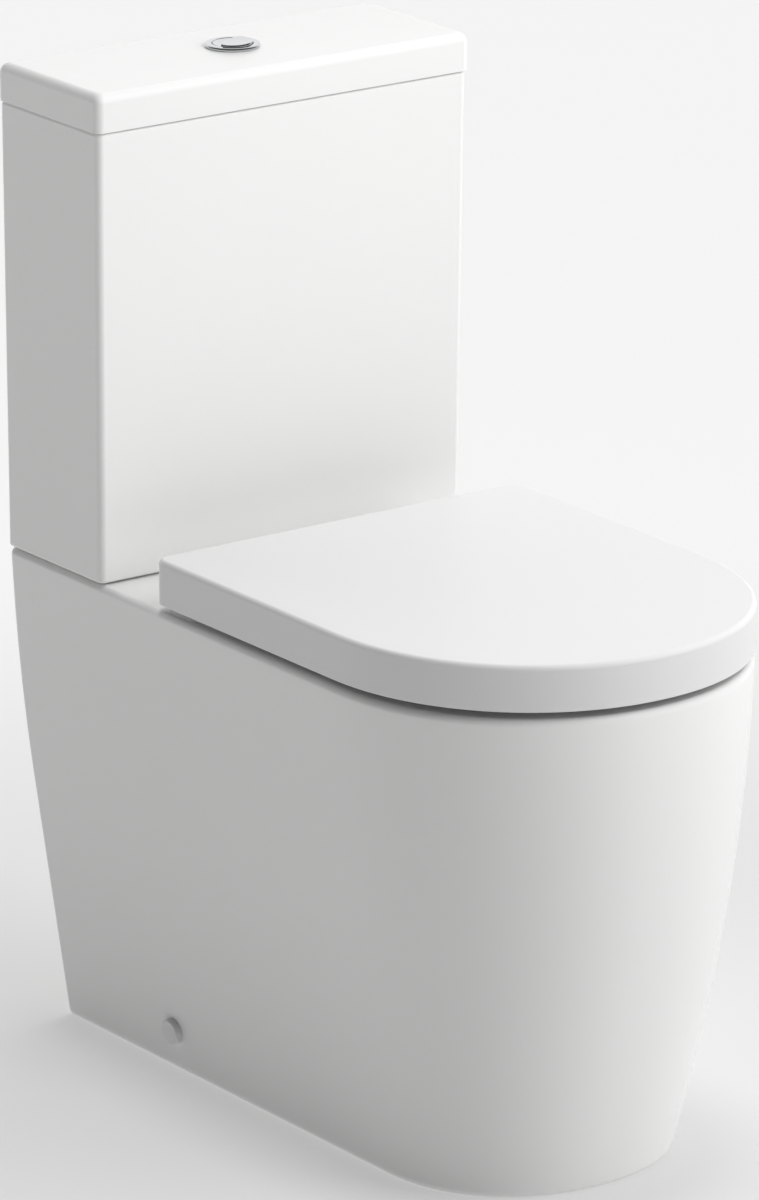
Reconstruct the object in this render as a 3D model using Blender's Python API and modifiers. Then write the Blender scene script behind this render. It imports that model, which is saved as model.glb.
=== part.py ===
"""Close coupled toilet: skirted back-to-wall china pan, dual flush cistern and wrap-over soft-close seat.

Metres, +Z up. X = 0 is the plane of symmetry, Z = 0 the floor, and the wall is at +Y.
The origin is the middle of the footprint at floor level. Distances named *_OUT are measured
out from the wall, and out(distance) turns one into a Y coordinate.
"""

import math

import bmesh
import bpy
from mathutils import Matrix, Vector

# Overall
DEPTH = 0.6446
GAP = 0.0003
PAST = 0.01  # how far a cutter runs past what it cuts
RUN_IN = 0.002  # how far a joined part runs into its neighbour
MIN_CORNER_R = 0.002

# Pan: half-width and reach from the wall follow smooth curves over the height
DECK_Z = 0.4155
SHOULDER_R = 0.006
FOOT_HALF = 0.1257
SIDE_SLOPE = 0.153
SIDE_SLOPE_TOP = 0.045
STRAIGHT_SIDE_Z = 0.215
WIDEST_Z = 0.412
FOOT_REACH = 0.5722
FRONT_SLOPE = 0.32
FRONT_SLOPE_LOSS = 0.29
FRONT_CURVE_FOOT = 0.1244
FRONT_CURVE_GAIN = 0.0636
FRONT_POWER_FOOT = 2.2
FRONT_POWER_LOSS = 0.13
PAN_WALL = 0.012
PAN_CORNER_R = 0.008
PAN_LEVELS = (0.02, 0.07, 0.12, 0.17, 0.215, 0.26, 0.305, 0.35, 0.385)
FOOT_EDGE = ((0.0, 0.0035), (0.0015, 0.0015), (0.006, 0.0005))  # height and inset
BACK_OPENING_FOOT = 0.097
BACK_OPENING_HEAD = 0.125
BACK_OPENING_TOP_Z = 0.385
BACK_OPENING_DEPTH = 0.020
DECK_LOW_Z = DECK_Z - PAN_WALL

# Bowl: height, half-width, half-length and centre out from the wall
BOWL = (
    (0.104, 0.016, 0.018, 0.400),
    (0.118, 0.032, 0.036, 0.400),
    (0.150, 0.044, 0.051, 0.401),
    (0.195, 0.060, 0.078, 0.405),
    (0.240, 0.082, 0.109, 0.413),
    (0.290, 0.104, 0.140, 0.423),
    (0.340, 0.119, 0.160, 0.430),
    (0.385, 0.127, 0.169, 0.432),
)
RIM_HALF = 0.128
RIM_LENGTH = 0.170
RIM_OUT = 0.432
RIM_R = 0.008
RIM_CUT = (0.015, 0.012)  # how far the bowl's cutter rises above the deck, and widens
BOWL_WALL = 0.011
BOWL_POWER = 2.2

# Trap, from the sump over the weir to the outlet spigot: distance out and height
TRAP_ROUTE = (
    (0.405, 0.146),
    (0.350, 0.152),
    (0.296, 0.200),
    (0.248, 0.242),
    (0.196, 0.222),
    (0.146, 0.186),
    (0.100, 0.180),
    (0.070, 0.180),
)
TRAP_BORE_R = 0.040
TRAP_OUTER_R = 0.051
OUTLET_OUT = 0.050

# Flush way from the cistern to the bowl
DUCT_HALF = 0.030
DUCT_LOW = 0.350
DUCT_HIGH = 0.388
DUCT_OUT = (0.040, 0.300)
DUCT_WALL = 0.008
DUCT_WALL_FRONT = 0.285
BOSS_R = 0.056
RECESS_R = 0.049
RECESS_Z = 0.3995
FLUSH_HOLE_R = 0.030

# Holes through the deck
FILL_HOLE_R = 0.022
BOLT_HOLE_R = 0.0055
HINGE_HOLE_R = 0.0065

# Cistern
TANK_Z = 0.4170
TANK_TOP_Z = 0.7889
TANK_FOOT = (0.17825, 0.1358)
TANK_HEAD = (0.1805, 0.1410)
TANK_WALL = 0.009
TANK_FLOOR = 0.011
TANK_CORNER_R = 0.0057
TANK_FOOT_R = 0.0025
TANK_RIM_R = 0.0022
TANK_INNER_R = 0.012
TANK_COVE = (0.004, 0.005)  # inset and height of the slope round the tank's floor
FLOOR_Z = TANK_Z + TANK_FLOOR
VALVE_HOLE_R = 0.030
TAIL_HOLE_R = 0.0115
LID_Z = 0.7892
LID_TOP_Z = 0.8216
LID_HALF = 0.1824
LID_REACH = 0.1429
LID_R = 0.008
LID_CORNER_R = 0.007
LID_FOOT_R = 0.0005
LID_REBATE = (0.0062, 0.0009)  # width and height of the step under its outer edge
LID_WALL = 0.010
LID_PLATE_Z = 0.8105
RIB = (0.006, 0.050, 0.0085)  # thickness, length along the lid's ends, reach into the tank
RIB_PLAY = 0.0012
BUTTON_HOLE_R = 0.0193

# Flush valve and button, on one upright axis
VALVE_OUT = 0.068
BUTTON_R = 0.0163
SPLIT_X = 0.01267
SPLIT_Y = -0.02118
SPLIT_R = 0.03125
SPLIT_GAP = 0.0006
FULL_TOP_Z = 0.8262
HALF_TOP_Z = 0.8243
BUTTON_LOW_Z = 0.8148
BEZEL_R = 0.0225
BEZEL_BORE_R = 0.0168
BEZEL_EDGE = 0.0008
BEZEL_TOP_Z = 0.8246
BEZEL_FLOOR_Z = 0.7902
BEZEL_FLOOR = 0.002
SLEEVE_R = 0.0190
BEZEL_NUT_R = 0.026
BEZEL_NUT_Z = 0.8020
ROD_R = 0.0025
GUIDE_R = 0.0029
ROD_LOW_Z = 0.740
FULL_ROD = (0.0028, -0.0047)
HALF_ROD = (-0.0057, 0.0096)
SPRING_R = 0.0036
SPRING_WIRE_R = 0.00045
SPRING_TURNS = 4
FLANGE_Z = FLOOR_Z + 0.0035
VALVE_SEAT_Z = FLOOR_Z + 0.0075
FLANGE_R = 0.0380
TAIL_R = 0.0270
TAIL_LOW_Z = 0.3920
VALVE_BORE_R = 0.0220
WASHER_TOP_Z = FLANGE_Z - GAP
BACKNUT_Z = 0.4075
BACKNUT_R = 0.0380
COUPLING_R = (0.0470, 0.0385, 0.0280)  # outside, round the backnut and round the tail
COUPLING_STEP_Z = 0.4071
TOWER_R = 0.0340
TOWER_BORE_R = 0.0315
TOWER_CAP = 0.004
TOWER_LOW_Z = VALVE_SEAT_Z + GAP
TOWER_TOP_Z = 0.746
WINDOWS = (("water", 0.446, 0.500, 0.017), ("column", 0.520, 0.715, 0.014))  # heights and half-width
ROD_HOLE_R = 0.0032
SEAL_R = 0.0280
SEAL_THICK = 0.004
TUBE_R = 0.0130
TUBE_BORE_R = 0.0110
TUBE_TOP_Z = 0.700
HALF_FLOAT_Z = (0.555, 0.600)

# Fill valve
FILL_X = -0.120
FILL_OUT = 0.070
RISER_R = 0.0110
RISER_FLANGE_R = 0.0170
RISER_FLANGE_TOP_Z = FLANGE_Z + 0.0033
INLET_R = 0.0102
INLET_LOW_Z = 0.3800
INLET_BORE_R = 0.0050
INLET_NUT_R = 0.0170
INLET_NUT_Z = 0.4085
HEAD_R = 0.0180
HEAD_EDGE = 0.002
HEAD_Z = 0.6603
HEAD_TOP_Z = 0.695
HEAD_EAR_Y = (0.0050, 0.0080)
HEAD_EAR_HALF = 0.0045
LEVER_X = -0.136
LEVER_Z = 0.706
LEVER_R = 0.0040
LEVER_HALF = 0.0046
LEVER_ARM = (0.004, 0.002)  # half-width and half-height
LEVER_PIN_R = 0.0015
LEVER_PIN_HALF = 0.009
LEVER_BORE_R = 0.0018
LINK_X = -0.084
LINK_R = 0.0015
FLOAT_R = 0.0260
FLOAT_BORE_R = 0.0125
FLOAT_Z = (0.550, 0.606)
FLOAT_LUG = (0.022, 0.005, 0.001, 0.006)  # start from the axis, half-width, and drops of its faces

# Cistern fixings
BOLT_X = 0.075
BOLT_OUT = 0.068
BOLT_R = 0.004
BOLT_PLAY_R = 0.0043
BOLT_HEAD_R = 0.0085
BOLT_HEAD = 0.006
BOLT_HEAD_Z = FLOOR_Z + 0.0046
BOLT_LOW_Z = 0.377
BOLT_SEAL_R = 0.013
PAD_R = 0.012
PAD_THICK = 0.003
WING_HUB_R = 0.008
WING_HUB = 0.0124
WING_Y = (0.0060, 0.0190)
WING_HALF = 0.0015
WING_DROP = (0.006, 0.017)

# Seat
SEAT_HALF = 0.180
SEAT_BACK_OUT = 0.2121
SEAT_FRONT_OUT = 0.6446
SEAT_CURVE = 0.18965
SEAT_POWER = 2.07
SEAT_CORNER_R = 0.0125
SEAT_LOW_Z = 0.4222
SEAT_TOP_Z = 0.4596
SEAT_EDGE_R = 0.0045
SEAT_WALL = 0.005
SEAT_PLATE_Z = 0.454
SEAT_FOOT_R = 0.001
RELIEF_HALF = 0.166
RELIEF_Z = 0.428
NOTCH_X = (0.054, 0.101)
RING_INSET = 0.0130
RING_BACK_OUT = 0.239
RING_LOW_Z = 0.4225
RING_TOP_Z = 0.4425
RING_EDGE_R = 0.004
RING_FOOT_R = 0.0015
HOLE_R = 0.006
HOLE_HALF = 0.105
HOLE_LENGTH = 0.135
HOLE_OUT = 0.430
RING_BUFFERS = (("back", 0.150, 0.300), ("front", 0.078, 0.598))  # X and distance out
RING_BUFFER_R = 0.008
LID_BUFFER_X = 0.070
LID_BUFFER_OUT = 0.592
LID_BUFFER_R = 0.007
BUFFER_EDGE = 0.0015

# Hinges
HINGE_OUT = 0.225
HINGE_Z = 0.434
HINGE_X = 0.0775
BARREL_R = 0.007
POST_HALF = 0.010
POST_FOOT_R = 0.015
POST_FOOT = 0.004
NECK_HALF = 0.0062
PIN_R = 0.003
PIN_BORE_R = 0.0033
PIN_HALF = 0.0192
EAR_WIDTH = 0.0092
EAR_R = 0.0068
WEB_HALF = 0.0055
STUD_R = 0.004
STUD_TOP_Z = 0.4236
STUD_LOW_Z = 0.352
HINGE_PAD_R = 0.014
HINGE_NUT_R = 0.012
HINGE_NUT = 0.0104

# Side fixings
FIXING_OUT = 0.166
FIXING_Z = 0.036
CAP_R = 0.011
CAP_RISE = 0.0055
CAP_EDGE = (0.0012, 0.0010)
CAP_STEM_R = 0.0056
CAP_STEM = 0.0024
CAP_BORE_R = 0.0062
CAP_BORE = 0.0070
SCREW_R = 0.0025
SCREW_HEAD_R = 0.0052
SCREW_HEAD = (0.0028, 0.0034, 0.0066)  # depths of its crown, edge and seat
SCREW_DEPTH = 0.040
SCREW_HOLE_R = 0.0034
BRACKET_SIZE = (0.032, 0.032, 0.052)
BRACKET_FOOT = 0.006
BRACKET_BORE_R = 0.0029
BRACKET_BORE = (-0.046, -0.004)  # where it ends and starts, from the pan's side
BRACKET_RECESS = (0.010, 0.006)  # half-width, and how far in front of the screw it starts

FRONT_STEPS = 24
CORNER_STEPS = 3
ROUND_STEPS = 3
BOWL_STEPS = 28

MATERIALS = {
    "china": ((0.86, 0.86, 0.855), 0.08, 0.0),
    "seat_plastic": ((0.82, 0.82, 0.82), 0.25, 0.0),
    "chrome": ((0.82, 0.83, 0.84), 0.08, 1.0),
    "steel": ((0.60, 0.60, 0.61), 0.30, 1.0),
    "rubber": ((0.035, 0.035, 0.037), 0.75, 0.0),
    "buffer_rubber": ((0.70, 0.70, 0.69), 0.60, 0.0),
    "white_plastic": ((0.78, 0.79, 0.80), 0.40, 0.0),
    "grey_plastic": ((0.30, 0.33, 0.36), 0.45, 0.0),
    "red_seal": ((0.45, 0.06, 0.04), 0.60, 0.0),
}

for old in list(bpy.data.objects):
    bpy.data.objects.remove(old, do_unlink=True)

parts = bpy.data.collections.new("close_coupled_toilet")
cutters = bpy.data.collections.new("cutters")
bpy.context.scene.collection.children.link(parts)
bpy.context.scene.collection.children.link(cutters)


def out(distance):
    """Y coordinate of a point this far out from the wall."""
    return DEPTH / 2 - distance


def make_material(name, colour, roughness, metallic):
    material = bpy.data.materials.new(name)
    material.use_nodes = True
    shader = material.node_tree.nodes["Principled BSDF"]
    shader.inputs["Base Color"].default_value = (*colour, 1.0)
    shader.inputs["Roughness"].default_value = roughness
    shader.inputs["Metallic"].default_value = metallic
    return material


def new_object(name, mesh, slot=None):
    """A part where it names a material, or else a cutter."""
    obj = bpy.data.objects.new(name, mesh)
    if slot:
        colour, roughness, metallic = MATERIALS[slot]
        mesh.materials.append(make_material(name + "_" + slot, colour, roughness, metallic))
        parts.objects.link(obj)
        return obj
    obj.hide_render = True
    obj.display_type = "WIRE"
    cutters.objects.link(obj)
    return obj


def from_bmesh(name, bm, slot=None):
    mesh = bpy.data.meshes.new(name)
    bm.to_mesh(mesh)
    bm.free()
    mesh.shade_smooth()
    mesh.set_sharp_from_angle(angle=math.radians(35))
    return new_object(name, mesh, slot)


def boolean(target, other, operation):
    modifier = target.modifiers.new(operation.title() + " " + other.name, "BOOLEAN")
    modifier.operation = operation
    modifier.object = other


def cut(target, *others):
    for other in others:
        boolean(target, other, "DIFFERENCE")


def join(target, *others):
    for other in others:
        boolean(target, other, "UNION")


def loft(name, rings, slot=None):
    """Closed skin over rings of equal length, each anticlockwise from above, lowest first."""
    bm = bmesh.new()
    loops = [[bm.verts.new(point) for point in ring] for ring in rings]
    count = len(rings[0])
    for low, high in zip(loops, loops[1:]):
        for i in range(count):
            j = (i + 1) % count
            bm.faces.new((low[i], low[j], high[j], high[i]))
    bm.faces.new(reversed(loops[0]))
    bm.faces.new(loops[-1])
    return from_bmesh(name, bm, slot)


def box(name, low, high, slot=None):
    bm = bmesh.new()
    bmesh.ops.create_cube(bm, size=1.0)
    size = Vector(high) - Vector(low)
    middle = (Vector(high) + Vector(low)) / 2
    bmesh.ops.transform(bm, matrix=Matrix.Translation(middle) @ Matrix.Diagonal((*size, 1)), verts=bm.verts)
    return from_bmesh(name, bm, slot)


def cylinder(name, radius, start, end, slot=None, sides=24):
    """Cylinder between two points."""
    axis = Vector(end) - Vector(start)
    bm = bmesh.new()
    size = {"radius1": radius, "radius2": radius, "depth": axis.length}
    bmesh.ops.create_cone(bm, cap_ends=True, segments=sides, **size)
    turn = axis.to_track_quat("Z", "Y").to_matrix().to_4x4()
    middle = (Vector(start) + Vector(end)) / 2
    bmesh.ops.transform(bm, matrix=Matrix.Translation(middle) @ turn, verts=bm.verts)
    return from_bmesh(name, bm, slot)


def turned(name, profile, place, slot=None, closed=False, steps=16):
    """Profile of (radius, height) points, top to bottom on its outer side, turned about Z."""
    mesh = bpy.data.meshes.new(name)
    count = len(profile)
    edges = [(i, i + 1) for i in range(count - 1)]
    if closed:
        edges.append((count - 1, 0))
    mesh.from_pydata([(radius, 0, height) for radius, height in profile], edges, [])
    obj = new_object(name, mesh, slot)
    obj.location = place
    screw = obj.modifiers.new("Screw", "SCREW")
    screw.steps = steps
    screw.render_steps = steps
    screw.use_merge_vertices = True
    screw.merge_threshold = 0.00001
    screw.use_smooth_shade = True
    return obj


def ring(name, outer, inner, low, high, place, slot, steps=16):
    """Plain washer, nut or sleeve."""
    profile = [(outer, high), (outer, low), (inner, low), (inner, high)]
    return turned(name, profile, place, slot, closed=True, steps=steps)


def hex_nut(name, outer, bore, low, high, place, slot):
    """Six-sided nut with a round bore."""
    x, y = place[:2]
    nut = cylinder(name, outer, (x, y, low), (x, y, high), slot, 6)
    cut(nut, cylinder(name + "_bore", bore, (x, y, low - PAST), (x, y, high + PAST)))
    return nut


def between(p, q, r, s, t):
    """Catmull-Rom value between q and r."""
    bend = (2 * p - 5 * q + 4 * r - s) * t * t
    twist = (3 * q - p - 3 * r + s) * t**3
    return (2 * q + (r - p) * t + bend + twist) / 2


def smooth_route(points, steps):
    """Points on a smooth curve through the given ones."""
    ends = [points[0]] + list(points) + [points[-1]]
    route = []
    for around in zip(ends, ends[1:], ends[2:], ends[3:]):
        for i in range(steps):
            route.append(tuple(between(*values, i / steps) for values in zip(*around)))
    route.append(points[-1])
    return route


def pipe(name, points, radius, slot=None, resolution=2):
    """Tube along the points, as a closed mesh."""
    curve = bpy.data.curves.new(name + "_route", "CURVE")
    curve.dimensions = "3D"
    curve.bevel_depth = radius
    curve.bevel_resolution = resolution
    curve.use_fill_caps = True
    spline = curve.splines.new("POLY")
    spline.points.add(len(points) - 1)
    for spot, point in zip(spline.points, points):
        spot.co = (*point, 1.0)
    guide = bpy.data.objects.new(name + "_route", curve)
    cutters.objects.link(guide)
    graph = bpy.context.evaluated_depsgraph_get()
    mesh = bpy.data.meshes.new_from_object(guide.evaluated_get(graph))
    bpy.data.objects.remove(guide)
    bm = bmesh.new()
    bm.from_mesh(mesh)
    bmesh.ops.remove_doubles(bm, verts=bm.verts, dist=0.00001)
    bmesh.ops.recalc_face_normals(bm, faces=bm.faces)
    return from_bmesh(name, bm, slot)


def superellipse(half, length, centre, power, start, turn, steps):
    """Points of a superellipse about (0, centre), from a start angle through a turn."""
    points = []
    for i in range(steps + 1):
        angle = start + turn * i / steps
        c = math.cos(angle)
        s = math.sin(angle)
        x = half * math.copysign(abs(c) ** (2 / power), c)
        y = length * math.copysign(abs(s) ** (2 / power), s)
        points.append((x, centre + y))
    return points


def corner_arc(x, y, radius, start):
    points = []
    for i in range(CORNER_STEPS + 1):
        angle = start + math.pi / 2 * i / CORNER_STEPS
        points.append((x + radius * math.cos(angle), y + radius * math.sin(angle)))
    return points


def d_outline(half, back_out, front_out, curve, power, corner, z):
    """Straight back and sides with rounded back corners, and a superelliptic front."""
    points = superellipse(half, curve, out(front_out - curve), power, math.pi, math.pi, FRONT_STEPS)
    back = out(back_out) - corner
    points += corner_arc(half - corner, back, corner, 0)
    points += corner_arc(corner - half, back, corner, math.pi / 2)
    return [(x, y, z) for x, y in points]


def box_outline(half, back_out, front_out, corner, z):
    """Rectangle with four rounded corners."""
    points = corner_arc(corner - half, out(front_out) + corner, corner, math.pi)
    points += corner_arc(half - corner, out(front_out) + corner, corner, 1.5 * math.pi)
    points += corner_arc(half - corner, out(back_out) - corner, corner, 0)
    points += corner_arc(corner - half, out(back_out) - corner, corner, 0.5 * math.pi)
    return [(x, y, z) for x, y in points]


def quarter(radius, steps=ROUND_STEPS):
    """Inset and drop of a rounded edge, from its side up to its top."""
    angles = [math.pi / 2 * i / steps for i in range(steps + 1)]
    return [(radius * (1 - math.cos(a)), radius * (1 - math.sin(a))) for a in angles]


# ---- pan ----


def pan_half(z):
    if z <= STRAIGHT_SIDE_Z:
        return FOOT_HALF + SIDE_SLOPE * z
    rise = z - STRAIGHT_SIDE_Z
    loss = (SIDE_SLOPE - SIDE_SLOPE_TOP) / (2 * (WIDEST_Z - STRAIGHT_SIDE_Z))
    return FOOT_HALF + SIDE_SLOPE * z - loss * rise * rise


def pan_reach(z):
    return FOOT_REACH + FRONT_SLOPE * z - FRONT_SLOPE_LOSS * z * z / (2 * WIDEST_Z)


def pan_outline(z, inset=0.0, back=0.0, level=None):
    """Outline of the pan at height z, drawn inset, and placed at another level where one is given."""
    share = (pan_half(z) - FOOT_HALF) / (pan_half(WIDEST_Z) - FOOT_HALF)
    curve = FRONT_CURVE_FOOT + FRONT_CURVE_GAIN * share - inset
    power = FRONT_POWER_FOOT - FRONT_POWER_LOSS * share
    corner = max(PAN_CORNER_R - inset, MIN_CORNER_R)
    height = z if level is None else level
    return d_outline(pan_half(z) - inset, back, pan_reach(z) - inset, curve, power, corner, height)


def pan_skirt():
    shell = [pan_outline(z, inset) for z, inset in FOOT_EDGE]
    shell += [pan_outline(z) for z in PAN_LEVELS]
    shell += [pan_outline(DECK_Z - drop, inset, inset / 2) for inset, drop in quarter(SHOULDER_R)]
    return loft("pan", shell, "china")


def pan_hollow():
    rings = [pan_outline(0.0, PAN_WALL + RUN_IN, PAN_WALL, -PAST)]
    rings += [pan_outline(z, PAN_WALL, PAN_WALL) for z in (*PAN_LEVELS[1::2], DECK_LOW_Z)]
    return loft("pan_hollow", rings)


def back_opening():
    """The open back between the side flanges, for the waste pipe and the fixings."""
    depth = (-BACK_OPENING_DEPTH, BACK_OPENING_DEPTH, PAN_WALL / 3)
    low = box_outline(BACK_OPENING_FOOT, *depth, -PAST)
    high = box_outline(BACK_OPENING_HEAD, *depth, BACK_OPENING_TOP_Z)
    return loft("back_opening", [low, high])


def bowl_ring(half, length, centre, z, grow):
    halves = (half + grow, length + grow)
    points = superellipse(*halves, out(centre), BOWL_POWER, 0, 2 * math.pi, BOWL_STEPS)
    return [(x, y, z) for x, y in points[:-1]]


def bowl_outside():
    rings = [bowl_ring(h, n, c, z - BOWL_WALL / 2, BOWL_WALL) for z, h, n, c in BOWL]
    rings.append(bowl_ring(RIM_HALF, RIM_LENGTH, RIM_OUT, DECK_Z - PAN_WALL / 2, BOWL_WALL))
    return loft("bowl_outside", rings)


def bowl_inside():
    rings = [bowl_ring(h, n, c, z, 0) for z, h, n, c in BOWL]
    for flare, drop in quarter(RIM_R):
        rings.append(bowl_ring(RIM_HALF, RIM_LENGTH, RIM_OUT, DECK_Z - drop, flare))
    rise, widening = RIM_CUT
    rings.append(bowl_ring(RIM_HALF, RIM_LENGTH, RIM_OUT, DECK_Z + rise, RIM_R + widening))
    return loft("bowl_inside", rings)


def trap_pipe(name, radius, extra):
    """The trapway, run past the outlet spigot's end by an extra length."""
    route = [(0, out(d), z) for d, z in TRAP_ROUTE]
    points = smooth_route(route, 3)
    points.append((0, out(OUTLET_OUT - extra), TRAP_ROUTE[-1][1]))
    return pipe(name, points, radius, resolution=4)


def make_pan():
    pan = pan_skirt()
    cut(pan, pan_hollow(), back_opening())
    join(pan, bowl_outside())
    join(pan, trap_pipe("trap_outside", TRAP_OUTER_R, 0.0))
    duct_walls = (
        (-DUCT_HALF - DUCT_WALL, out(DUCT_WALL_FRONT), DUCT_LOW - DUCT_WALL),
        (DUCT_HALF + DUCT_WALL, out(DUCT_OUT[0] - DUCT_WALL), DECK_Z - PAN_WALL / 2),
    )
    join(pan, box("duct_outside", *duct_walls))
    boss = (on_valve(DUCT_HIGH + 0.001), on_valve(DECK_Z - 0.004))
    join(pan, cylinder("shelf_boss", BOSS_R, *boss, sides=32))
    cut(pan, bowl_inside(), trap_pipe("trap_inside", TRAP_BORE_R, 0.02))
    duct = ((-DUCT_HALF, out(DUCT_OUT[1]), DUCT_LOW), (DUCT_HALF, out(DUCT_OUT[0]), DUCT_HIGH))
    cut(pan, box("duct_inside", *duct))
    recess = (on_valve(RECESS_Z), on_valve(DECK_Z + PAST))
    cut(pan, cylinder("coupling_recess", RECESS_R, *recess, sides=32))
    hole = (on_valve(DUCT_HIGH - PAST), on_valve(RECESS_Z + RUN_IN))
    cut(pan, cylinder("flush_hole", FLUSH_HOLE_R, *hole))
    cut(pan, upright_hole("fill_tail_hole", FILL_X, FILL_OUT, FILL_HOLE_R))
    for side, sign in (("left", -1), ("right", 1)):
        cut(pan, upright_hole(side + "_bolt_hole", sign * BOLT_X, BOLT_OUT, BOLT_HOLE_R))
        cut(pan, upright_hole(side + "_hinge_hole", sign * HINGE_X, HINGE_OUT, HINGE_HOLE_R))
        cut(pan, side_cylinder(side + "_cap_bore", sign, CAP_BORE_R, -CAP_BORE, PAST))
        cut(pan, side_cylinder(side + "_screw_hole", sign, SCREW_HOLE_R, -SCREW_DEPTH, 0.0))
    return pan


def upright_hole(name, x, distance, radius):
    """Cutter through the pan's deck."""
    low = (x, out(distance), DECK_LOW_Z - 2 * PAST)
    return cylinder(name, radius, low, (x, out(distance), DECK_Z + PAST), sides=16)


# ---- side fixings ----


def side_point(sign, depth):
    """A point on the side fixing's axis, square to the sloping side, this far outside its surface."""
    slope = math.atan(SIDE_SLOPE)
    x = pan_half(FIXING_Z) + depth * math.cos(slope)
    return (sign * x, out(FIXING_OUT), FIXING_Z - depth * math.sin(slope))


def side_cylinder(name, sign, radius, inner, outer, slot=None, sides=16):
    return cylinder(name, radius, side_point(sign, inner), side_point(sign, outer), slot, sides)


def side_turned(name, sign, profile, slot):
    """Turned piece whose axis points out of the side of the pan."""
    obj = turned(name, profile, side_point(sign, 0.0), slot)
    aim = Vector(side_point(sign, 1.0)) - Vector(side_point(sign, 0.0))
    obj.rotation_euler = aim.to_track_quat("Z", "Y").to_euler()
    return obj


def make_side_fixing(side, sign):
    cap = [
        (0, CAP_RISE),
        (CAP_R - CAP_EDGE[0], CAP_RISE),
        (CAP_R, CAP_RISE - CAP_EDGE[1]),
        (CAP_R, GAP),
        (CAP_STEM_R, GAP),
        (CAP_STEM_R, -CAP_STEM),
        (0, -CAP_STEM),
    ]
    side_turned(side + "_side_cover_cap", sign, cap, "seat_plastic")
    crown, edge, seat = SCREW_HEAD
    screw = [
        (0, -crown),
        (SCREW_HEAD_R - 0.0006, -edge),
        (SCREW_HEAD_R, -seat),
        (SCREW_R, -seat - 0.0001),
        (SCREW_R, SCREW_R - SCREW_DEPTH),
        (0, -SCREW_DEPTH),
    ]
    side_turned(side + "_side_screw", sign, screw, "steel")
    make_floor_bracket(side, sign)


def make_floor_bracket(side, sign):
    """Block that screws to the floor inside the skirt and takes the side screw."""
    width, depth, height = BRACKET_SIZE
    inner = pan_half(0.0) - PAN_WALL - 0.004
    ends = sorted((sign * inner, sign * (inner - width)))
    low = (ends[0], out(FIXING_OUT + depth / 2), 0.0)
    high = (ends[1], out(FIXING_OUT - depth / 2), height)
    bracket = box(side + "_floor_bracket", low, high, "white_plastic")
    cut(bracket, side_cylinder(side + "_bracket_bore", sign, BRACKET_BORE_R, *BRACKET_BORE))
    middle = sum(ends) / 2
    half, start = BRACKET_RECESS
    low = (middle - half, out(FIXING_OUT + depth / 2 + PAST), BRACKET_FOOT)
    high = (middle + half, out(FIXING_OUT + start), height + PAST)
    cut(bracket, box(side + "_bracket_recess", low, high))


# ---- cistern ----


def tank_outline(z, inset=0.0, corner=TANK_CORNER_R):
    share = (z - TANK_Z) / (TANK_TOP_Z - TANK_Z)
    half = TANK_FOOT[0] + (TANK_HEAD[0] - TANK_FOOT[0]) * share - inset
    reach = TANK_FOOT[1] + (TANK_HEAD[1] - TANK_FOOT[1]) * share - inset
    return box_outline(half, inset, reach, max(corner - inset / 2, MIN_CORNER_R), z)


def make_tank():
    foot = [(inset, drop) for inset, drop in reversed(quarter(TANK_FOOT_R))]
    rings = [tank_outline(TANK_Z + drop, inset) for inset, drop in foot]
    rings += [tank_outline(TANK_TOP_Z - drop, inset) for inset, drop in quarter(TANK_RIM_R, 2)]
    tank = loft("cistern_tank", rings, "china")
    cove, cove_height = TANK_COVE
    levels = ((FLOOR_Z, cove), (FLOOR_Z + cove_height, 0.0), (TANK_TOP_Z + PAST, 0.0))
    inside = [tank_outline(z, TANK_WALL + inset, TANK_INNER_R) for z, inset in levels]
    cut(tank, loft("tank_inside", inside))
    cut(tank, tank_hole("valve_hole", 0, VALVE_OUT, VALVE_HOLE_R))
    cut(tank, tank_hole("fill_hole", FILL_X, FILL_OUT, TAIL_HOLE_R))
    for side, sign in (("left", -1), ("right", 1)):
        cut(tank, tank_hole(side + "_tank_bolt_hole", sign * BOLT_X, BOLT_OUT, BOLT_HOLE_R))
    return tank


def tank_hole(name, x, distance, radius):
    low = (x, out(distance), TANK_Z - PAST)
    return cylinder(name, radius, low, (x, out(distance), FLOOR_Z + PAST), sides=20)


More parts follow.
